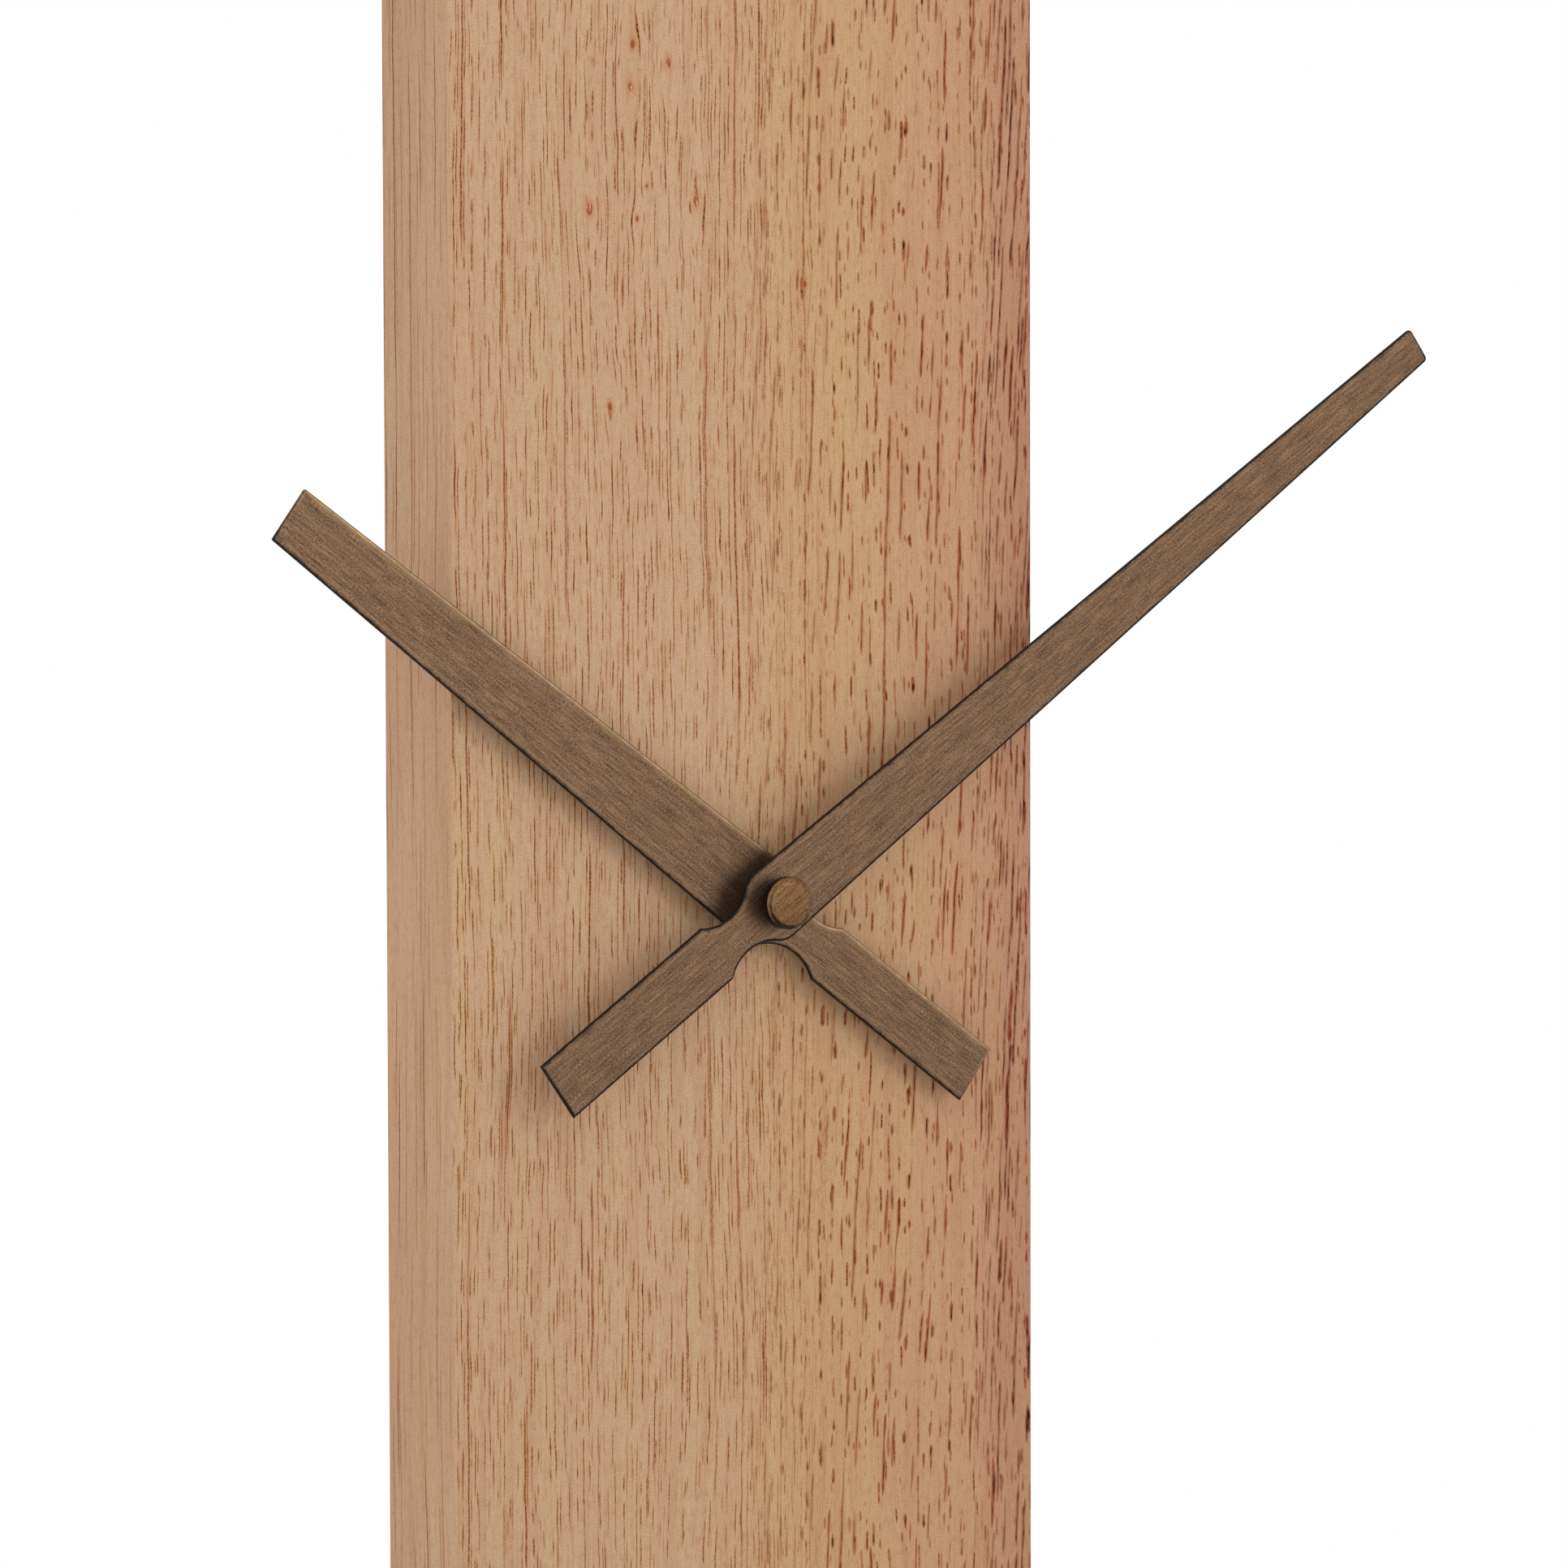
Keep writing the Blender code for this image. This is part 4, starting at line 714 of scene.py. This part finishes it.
def build_hand(node, shape, angle, hole_radius, material, dark_band, bright_right):
    """A stamped hand: rolled edges, patinated on the sides and rubbed through just inside the face.

    dark_band is how far the patina reaches in on the left; bright_right bares the right-hand edge.
    """
    low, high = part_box(node)
    thickness = high.y - low.y
    edge = 0.2 * MM
    roll_width, roll_depth = 0.45 * MM, 0.3 * MM
    rings = [(edge, thickness, -0.35, -0.35)]       # inset, depth, rub on the left and on the right
    for quarter in (0.5, 1.0):
        turn = quarter * math.pi / 2
        rings.append((edge * (1 - math.sin(turn)), thickness - edge * (1 - math.cos(turn)), -1.2, -1.2))
    for quarter in (0.0, 0.25, 0.5, 0.75, 1.0):
        turn = quarter * math.pi / 2
        right = 1.9 * quarter - 0.4 if bright_right else -1.2 + 0.25 * quarter
        left = -1.2 + 0.6 * quarter ** 2
        rings.append((roll_width * (1 - math.cos(turn)), roll_depth * (1 - math.sin(turn)), left, right))
    rings.append((dark_band, 0, -0.35, 1.1 if bright_right else 0.0))
    rings.append((dark_band + 0.25 * MM, 0, 0.7, 0.7 if bright_right else 0.15))
    rings.append((dark_band + 0.6 * MM, 0, 0.4, 0.45 if bright_right else 0.15))
    rings.append((dark_band + 1.2 * MM, 0, 0.0, 0.1))

    bm = bmesh.new()
    rub_layer = bm.verts.layers.float.new("wear_and_painted_light")
    loops = []
    for inset, y, left, right in rings:
        loop = [bm.verts.new((x, y, z)) for x, z in hand_outline(inset, **shape)]
        for vert in loop:
            vert[rub_layer] = right if vert.co.x > 0 else left
            at_end = vert.co.z > shape["length"] - inset - MM or vert.co.z < inset + MM - shape["tail"]
            if at_end and inset >= dark_band:
                vert[rub_layer] = 0.1
        loops.append(loop)
    bm.faces.new(loops[0])
    bm.faces.new(loops[-1])
    for ring_a, ring_b in zip(loops, loops[1:]):
        for i in range(len(ring_a)):
            j = (i + 1) % len(ring_a)
            bm.faces.new((ring_a[i], ring_a[j], ring_b[j], ring_b[i]))
    obj = finish_mesh(f"{node}_blade", bm, [material])
    boolean(obj, [disc_cutter(hole_radius, (-MM, thickness + MM))])
    obj.location = (0, low.y, AXIS_Z)
    obj.rotation_euler = (0, angle, 0)
    return stands_for(obj, node)


def build_hands(material):
    hour = {
        "length": 145.5 * MM, "tail": 70 * MM, "tip_half": 6.65 * MM, "hub_half": 9.8 * MM,
        "tail_half": 6.95 * MM, "waist": (4.65 * MM, -14.2 * MM), "corner": (6.9 * MM, -21.3 * MM),
        "shoulder_radius": 7 * MM, "tip_radius": 0.4 * MM,
    }
    minute = {
        "length": 213.5 * MM, "tail": 68.2 * MM, "tip_half": 4.35 * MM, "hub_half": 8.65 * MM,
        "tail_half": 7.1 * MM, "waist": (4.45 * MM, -12 * MM), "corner": (6.95 * MM, -18.8 * MM),
        "shoulder_radius": 6 * MM, "tip_radius": 1.0 * MM,
    }
    build_hand("hour_hand", hour, HOUR_HAND_ANGLE, 3.5 * MM, material, 0.75 * MM, True)
    build_hand("minute_hand", minute, MINUTE_HAND_ANGLE, 2.9 * MM, material, 0.85 * MM, False)


def build_cap(material):
    """The closed nut: a narrow collar under a wider head with a flat face and a rounded, patinated shoulder.

    The shoulder's edges get a painted highlight on the left, and painted shade towards the lower left.
    """
    low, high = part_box("hand_cap")
    head_back = high.y - 2.7 * MM
    bore_end = head_back - 1.2 * MM
    front = low.y
    bore, collar = 1.45 * MM, 3.4 * MM
    back = [(0, bore_end), (bore, bore_end), (bore, high.y), (collar, high.y), (collar, head_back)]
    back += [(5.6 * MM, head_back), (5.8 * MM, head_back - 0.2 * MM)]
    rings = [(radius, y, -1.2, 0.0, 0.0) for radius, y in back]       # the last three make the attribute: patina level, painted highlight and painted shade
    for radius, depth, level, wear_and_glint, painted_shade in (
        (5.8, 1.1, -1.1, 0.0, 0.0), (5.76, 0.92, -0.6, 0.7, 0.35), (5.7, 0.8, -0.1, 2.0, 0.6),
        (5.58, 0.66, -0.3, 1.2, 0.5), (5.42, 0.54, -0.42, 0.0, 0.45), (5.1, 0.37, -0.38, 0.0, 0.4),
        (4.85, 0.25, -0.3, 0.4, 0.35), (4.72, 0.19, -0.1, 1.7, 0.3), (4.58, 0.13, -0.05, 1.3, 0.2),
        (4.4, 0.1, -0.1, 0.0, 0.2), (3.8, 0.07, -0.05, 0.0, 0.1), (2.2, 0.02, 0.0, 0.0, 0.0),
        (0, 0, 0.0, 0.0, 0.0),
    ):
        rings.append((radius * MM, front + depth * MM, level, wear_and_glint, painted_shade))
    bm = turned([(radius, y) for radius, y, *_ in rings], 96)
    wear_and_painted_light = bm.verts.layers.float.new("wear_and_painted_light")
    highlight_side, shade_side = Vector((-0.98, 0, 0.2)), Vector((-0.6, 0, -0.8))
    turn = Matrix.Rotation(MINUTE_HAND_ANGLE, 3, "Y")
    for vert in bm.verts:
        radius = math.hypot(vert.co.x, vert.co.z)
        nearest = min(rings, key=lambda ring: abs(ring[0] - radius) + abs(ring[1] - vert.co.y))
        outward = turn @ Vector((vert.co.x, 0, vert.co.z)).normalized()
        level, wear_and_glint, painted_shade = nearest[2:]
        # Painted highlight on the left of the shoulder's edges, and painted shade towards the lower left.
        level += wear_and_glint * max(outward.dot(highlight_side), 0) ** 3
        vert[wear_and_painted_light] = level - painted_shade * max(outward.dot(shade_side) + 0.2, 0)
    obj = finish_mesh("hand_cap_nut", bm, [material], math.radians(40))
    obj.location = (0, 0, AXIS_Z)
    obj.rotation_euler = (0, MINUTE_HAND_ANGLE, 0)
    stands_for(obj, "hand_cap")


# Pendulum

def build_bob(material, plate_material):
    """The spun shell, rubbed bright at its rim, the weight in it and the back plate."""
    centre, size = size_of("bob_shell")
    low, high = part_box("bob_shell")
    radius, wall = size.x / 2, 1.0 * MM
    screw_hole, screw_reach = 1.3 * MM, 11 * MM
    edge = high.y - 2.8 * MM
    steps = 28
    outer = []
    for step in range(steps + 1):
        share = math.sin(math.pi / 2 * step / steps)
        drop = (1 - share ** 4) ** 0.42 if step < steps else 0.0
        outer.append((radius * share, edge - (edge - low.y) * drop))
    inner = [(max(r - wall, 0.0) if r > 0.8 * radius else r, y + wall) for r, y in outer]
    inner[-1] = (radius - wall, edge)
    rim = [(radius, high.y - 0.3 * MM), (radius - 0.3 * MM, high.y), (radius - wall, high.y)]
    bm = turned(outer + rim + inner[::-1], 160)
    wear_and_painted_light = bm.verts.layers.float.new("wear_and_painted_light")
    for vert in bm.verts:
        reach = math.hypot(vert.co.x, vert.co.z)
        in_front = vert.co.y < edge + MM
        wear_and_glint = 0.9 if 0.955 * radius < reach < 0.995 * radius else 0.0
        vert[wear_and_painted_light] = wear_and_glint if in_front else -0.8
    shell = finish_mesh("bob_dish", lay_along(bm, "y", (0, 0, centre.z)), [material])
    stands_for(shell, "bob_shell")

    for node, bevel in (("bob_back", 0.15 * MM), ("bob_weight", 0.3 * MM)):
        low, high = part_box(node)
        reach = (high.x - low.x) / 2
        profile = rounded([(0, low.y), (reach, low.y), (reach, high.y), (0, high.y)], bevel)
        disc = lay_along(turned(profile, 128), "y", (0, 0, centre.z))
        plate = finish_mesh(f"{node}_plate", disc, [plate_material])
        through = (low.y - MM, high.y + MM)
        holes = [disc_cutter(screw_hole, through, side * screw_reach, centre.z, 32) for side in (-1, 1)]
        stands_for(boolean(plate, holes), node)


def build_rod(material):
    centre, size = size_of("pendulum_rod")
    radius, half = size.x / 2, size.z / 2
    profile = rounded([(0, -half), (radius, -half), (radius, half), (0, half)], 0.5 * MM)
    bm = lay_along(turned(profile, 48), "z", centre)
    stands_for(finish_mesh("pendulum_rod_round", bm, [material]), "pendulum_rod")


# Hanger, pads and movement, as seen from behind

def build_hanger(steel_finish):
    low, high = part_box("hanger_plate")
    plate = finish_mesh("hanger_keyhole_plate", block(*zip(low, high)), [steel_finish])
    through = (low.y - MM, high.y + MM)
    slot, opening, opening_z = 2.3 * MM, 4.75 * MM, -9 * MM
    screw_clearance, screw_reach = 3.5 * MM, 22 * MM
    cuts = [disc_cutter(opening, through, 0, opening_z), disc_cutter(slot, through, 0, -slot)]
    cuts.append(block((-slot, slot), through, (opening_z, -slot)))
    cuts += [disc_cutter(screw_clearance, through, side * screw_reach) for side in (-1, 1)]
    stands_for(soften(boolean(plate, cuts), 0.15 * MM), "hanger_plate")

    for side in ("left", "right"):
        node = f"hanger_screw_{side}"
        centre = size_of(node)[0]
        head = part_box(node)[1].y
        head_radius, shank = 3.2 * MM, 1.6 * MM
        profile = [(0, head), (head_radius, head), (shank, head - 1.6 * MM)]
        profile += [(shank, head - 9 * MM), (0, head - 10.5 * MM)]
        screw = finish_mesh(f"{node}_cross_head", turned(rounded(profile, 0.15 * MM), 64), [steel_finish])
        depth, reach, half = (head - 0.8 * MM, head + MM), 2 * MM, 0.35 * MM
        cross = [block((-reach, reach), depth, (-half, half))]
        cross.append(block((-half, half), depth, (-reach, reach)))
        boolean(screw, cross)
        screw.location = (centre.x, 0, centre.z)
        stands_for(screw, node)


def build_bob_screws(steel_finish):
    for side in ("left", "right"):
        node = f"bob_screw_{side}"
        centre = size_of(node)[0]
        tip, top = (corner.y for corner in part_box(node))
        under = top - 1.2 * MM
        profile = [(0, tip), (MM, tip), (MM, under), (2.1 * MM, under)]
        profile += [(2.1 * MM, top - 0.4 * MM), (1.5 * MM, top), (0, top)]
        screw = finish_mesh(f"{node}_pan_head", turned(rounded(profile, 0.15 * MM), 64), [steel_finish])
        boolean(screw, [block((-3 * MM, 3 * MM), (top - 0.6 * MM, top + MM), (-0.3 * MM, 0.3 * MM))])
        screw.location = (centre.x, 0, centre.z)
        stands_for(screw, node)


def build_pads(material):
    for node in NODES:
        if not node.startswith("wall_pad"):
            continue
        centre, size = size_of(node)
        half = size.y / 2
        radius = size.x / 2
        profile = rounded([(0, -half), (radius, -half), (radius, half), (0, half)], 0.35 * MM)
        stands_for(finish_mesh(f"{node}_disc", lay_along(turned(profile, 64), "y", centre), [material]), node)


def build_battery(material):
    low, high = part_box("battery")
    centre, size = size_of("battery")
    radius, nub = size.z / 2, 1.2 * MM
    end = high.x - nub
    profile = [(0, low.x), (radius, low.x), (radius, end), (2.75 * MM, end), (2.75 * MM, high.x), (0, high.x)]
    bm = lay_along(turned(rounded(profile, 0.6 * MM), 64), "x", (0, centre.y, centre.z))
    stands_for(finish_mesh("battery_cell", bm, [material]), "battery")


# Everything else: the CAD shape, some with rounded edges, and the finishes

def refine(node, material, width, cutters=()):
    """A copy of a CAD node's mesh with clean faces and rounded edges, and cutters taken out of it."""
    bm = bmesh.new()
    bm.from_mesh(NODES[node].data)
    bmesh.ops.remove_doubles(bm, verts=bm.verts, dist=0.000002)
    bmesh.ops.dissolve_limit(bm, angle_limit=math.radians(1), verts=bm.verts, edges=bm.edges)
    obj = boolean(finish_mesh(f"{node}_finished", bm, [material]), cutters)
    return stands_for(soften(obj, width), node)


def build_cover(material):
    """The movement's cover: a shallow dish round the knob, polarity marks by the battery, and grip ribs."""
    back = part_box("movement_cover")[1].y
    recess = (back - 0.35 * MM, back + MM)
    knob, cell = size_of("setting_knob")[0], size_of("battery")[0]
    dish_radius, mark_x, mark_half = 7.5 * MM, 21 * MM, 1.4 * MM
    cutters = [disc_cutter(dish_radius, recess, knob.x, knob.z)]

    def groove(x, z, half_length, upright=False, half_width=0.35 * MM):
        reach_x, reach_z = (half_width, half_length) if upright else (half_length, half_width)
        cutters.append(block((x - reach_x, x + reach_x), recess, (z - reach_z, z + reach_z)))

    mark_z = cell.z + 10.3 * MM
    groove(mark_x, mark_z, mark_half)
    groove(mark_x, mark_z, mark_half, upright=True)
    groove(-mark_x, mark_z, mark_half)
    for rib in range(5):
        groove(0, cell.z - (22.5 + 3 * rib) * MM, 11 * MM, half_width=0.5 * MM)
    refine("movement_cover", material, 0.15 * MM, cutters).data.shade_flat()


def dress(node, material):
    """Give a CAD node a material."""
    mesh = NODES[node].data
    mesh.materials.clear()
    mesh.materials.append(material)


def build_rest():
    """Finishes for every CAD node, and the pieces that replace some of them."""
    finishes = {
        "timber": timber("rail_timber", (0, 1, 1), 0),
        "antique_bronze": rod_bronze(),
        "brass": brass(),
        "steel": steel("zinc_steel", (0.25, 3.0, 3.0)),
        "felt": grained("felt", rgb(92, 72, 58), 0.95, 0.12, 0.2 * MM, 0.3),
        "case_plastic": grained("case_plastic", rgb(42, 42, 44), 0.5, 0.25, 0.05 * MM),
        "wheel_plastic": grained("wheel_plastic", rgb(232, 229, 218), 0.4, 0.6, 0.02 * MM, 0.05),
        "magnet": grained("ferrite", rgb(74, 74, 78), 0.5, 0.2, 0.04 * MM, 0.2),
        "copper": wound_copper("coil_copper", 1),
        "circuit_board": printed_board(),
        "battery_sleeve": battery_print(),
        "rubber": grained("rubber", rgb(34, 34, 34), 0.8, 0.3, 0.04 * MM),
    }
    for node, slot in SLOT_OF.items():
        dress(node, finishes[slot])
    dress("time_coil", wound_copper("time_coil_copper", 0))

    eased = {       # width of the rounding in millimetres
        "hanger_rail": 0.5, "movement_case": 0.3, "setting_knob": 0.12, "mounting_nut": 0.12,
        "mounting_washer": 0.1, "bob_clip": 0.12, "pendulum_hook": 0.12, "swing_lever": 0.15,
    }
    for node, width in eased.items():
        refine(node, finishes[SLOT_OF[node]], width * MM)
    build_cover(finishes["case_plastic"])
    build_hanger(finishes["steel"])
    build_pads(finishes["felt"])
    build_battery(finishes["battery_sleeve"])
    build_bob_screws(finishes["steel"])
    build_rod(finishes["antique_bronze"])
    bob_z = size_of("bob_shell")[0].z
    spun_steel = steel("spun_steel", (3.0, 1.0, 1.0), bob_z)
    build_bob(patinated("spun_bronze", BRONZE, BRONZE_RUBBED, 0.16, bob_z, 0.3), spun_steel)


# Stage

def light_world(tree):
    """White behind the object. As light it is stronger from the front and from above."""
    direction = tree.nodes.new("ShaderNodeTexCoord").outputs["Generated"]
    facing = tree.nodes.new("ShaderNodeVectorMath")
    facing.operation = "DOT_PRODUCT"
    facing.inputs[1].default_value = LIGHT_FROM
    tree.links.new(direction, facing.inputs[0])
    level = tree.nodes.new("ShaderNodeMapRange")
    for socket, value in zip(level.inputs[1:5], (-1.0, 1.0, 0.5, 1.12)):
        socket.default_value = value
    tree.links.new(facing.outputs["Value"], level.inputs[0])
    seen = tree.nodes.new("ShaderNodeLightPath").outputs["Is Camera Ray"]
    strength = tree.nodes.new("ShaderNodeMix")
    strength.inputs[3].default_value = 1.0
    tree.links.new(seen, strength.inputs[0])
    tree.links.new(level.outputs[0], strength.inputs[2])
    background = tree.nodes["Background"]
    background.inputs["Color"].default_value = (1, 1, 1, 1)
    tree.links.new(strength.outputs[0], background.inputs["Strength"])


def build_stage():
    scene = bpy.context.scene
    scene.view_settings.view_transform = "Standard"

    floor_graph = Graph("pale_floor", (0.8, 0.8, 0.8), 0.9)
    cloud = floor_graph.noise(floor_graph.position, 6.0, 2.0)
    floor_graph.set("Base Color", floor_graph.mix(cloud, (0.80, 0.80, 0.79, 1), (0.84, 0.84, 0.83, 1)))
    floor_z = CAD_BOX[0].z - FLOOR_GAP
    bm = bmesh.new()
    bmesh.ops.create_circle(bm, cap_ends=True, segments=128, radius=FLOOR_RADIUS)
    bmesh.ops.translate(bm, vec=(0, 0, floor_z), verts=bm.verts)
    finish_mesh("floor", bm, [floor_graph.material])

    world = bpy.data.worlds.new("studio")
    scene.world = world
    world.use_nodes = True
    light_world(world.node_tree)

    lamp = bpy.data.lights.new("key", "AREA")
    lamp.shape = "DISK"
    lamp.size = 0.7
    lamp.energy = 6.0
    key = bpy.data.objects.new("key", lamp)
    scene.collection.objects.link(key)
    key.location = KEY_LIGHT_PLACE
    direction = Vector((0, 0, AXIS_Z)) - KEY_LIGHT_PLACE
    key.rotation_euler = direction.to_track_quat("-Z", "Y").to_euler()


def build_camera():
    camera = bpy.data.cameras.new("camera")
    camera.lens = 165.34
    camera.sensor_width = 36.0
    obj = bpy.data.objects.new("camera", camera)
    bpy.context.scene.collection.objects.link(obj)
    aim = (CAMERA_TARGET - CAMERA_PLACE).to_track_quat("-Z", "Y").to_matrix().to_4x4()
    obj.matrix_world = Matrix.Translation(CAMERA_PLACE) @ aim @ Matrix.Rotation(CAMERA_ROLL, 4, "Z")
    bpy.context.scene.camera = obj


def main():
    build_camera()
    build_stage()
    build_rest()
    front = timber("front_timber", (1, 0.35, 0), figured=True)
    build_body(front, timber("side_timber", (0.35, 1, 0)), timber("end_timber", (0, 1, 0.35), 0))
    build_hands(patinated("hand_bronze", BRONZE, BRONZE_RUBBED, 0.45))
    build_cap(patinated("cap_bronze", rgb(122, 86, 46), rgb(142, 108, 66), 0.36))


main()
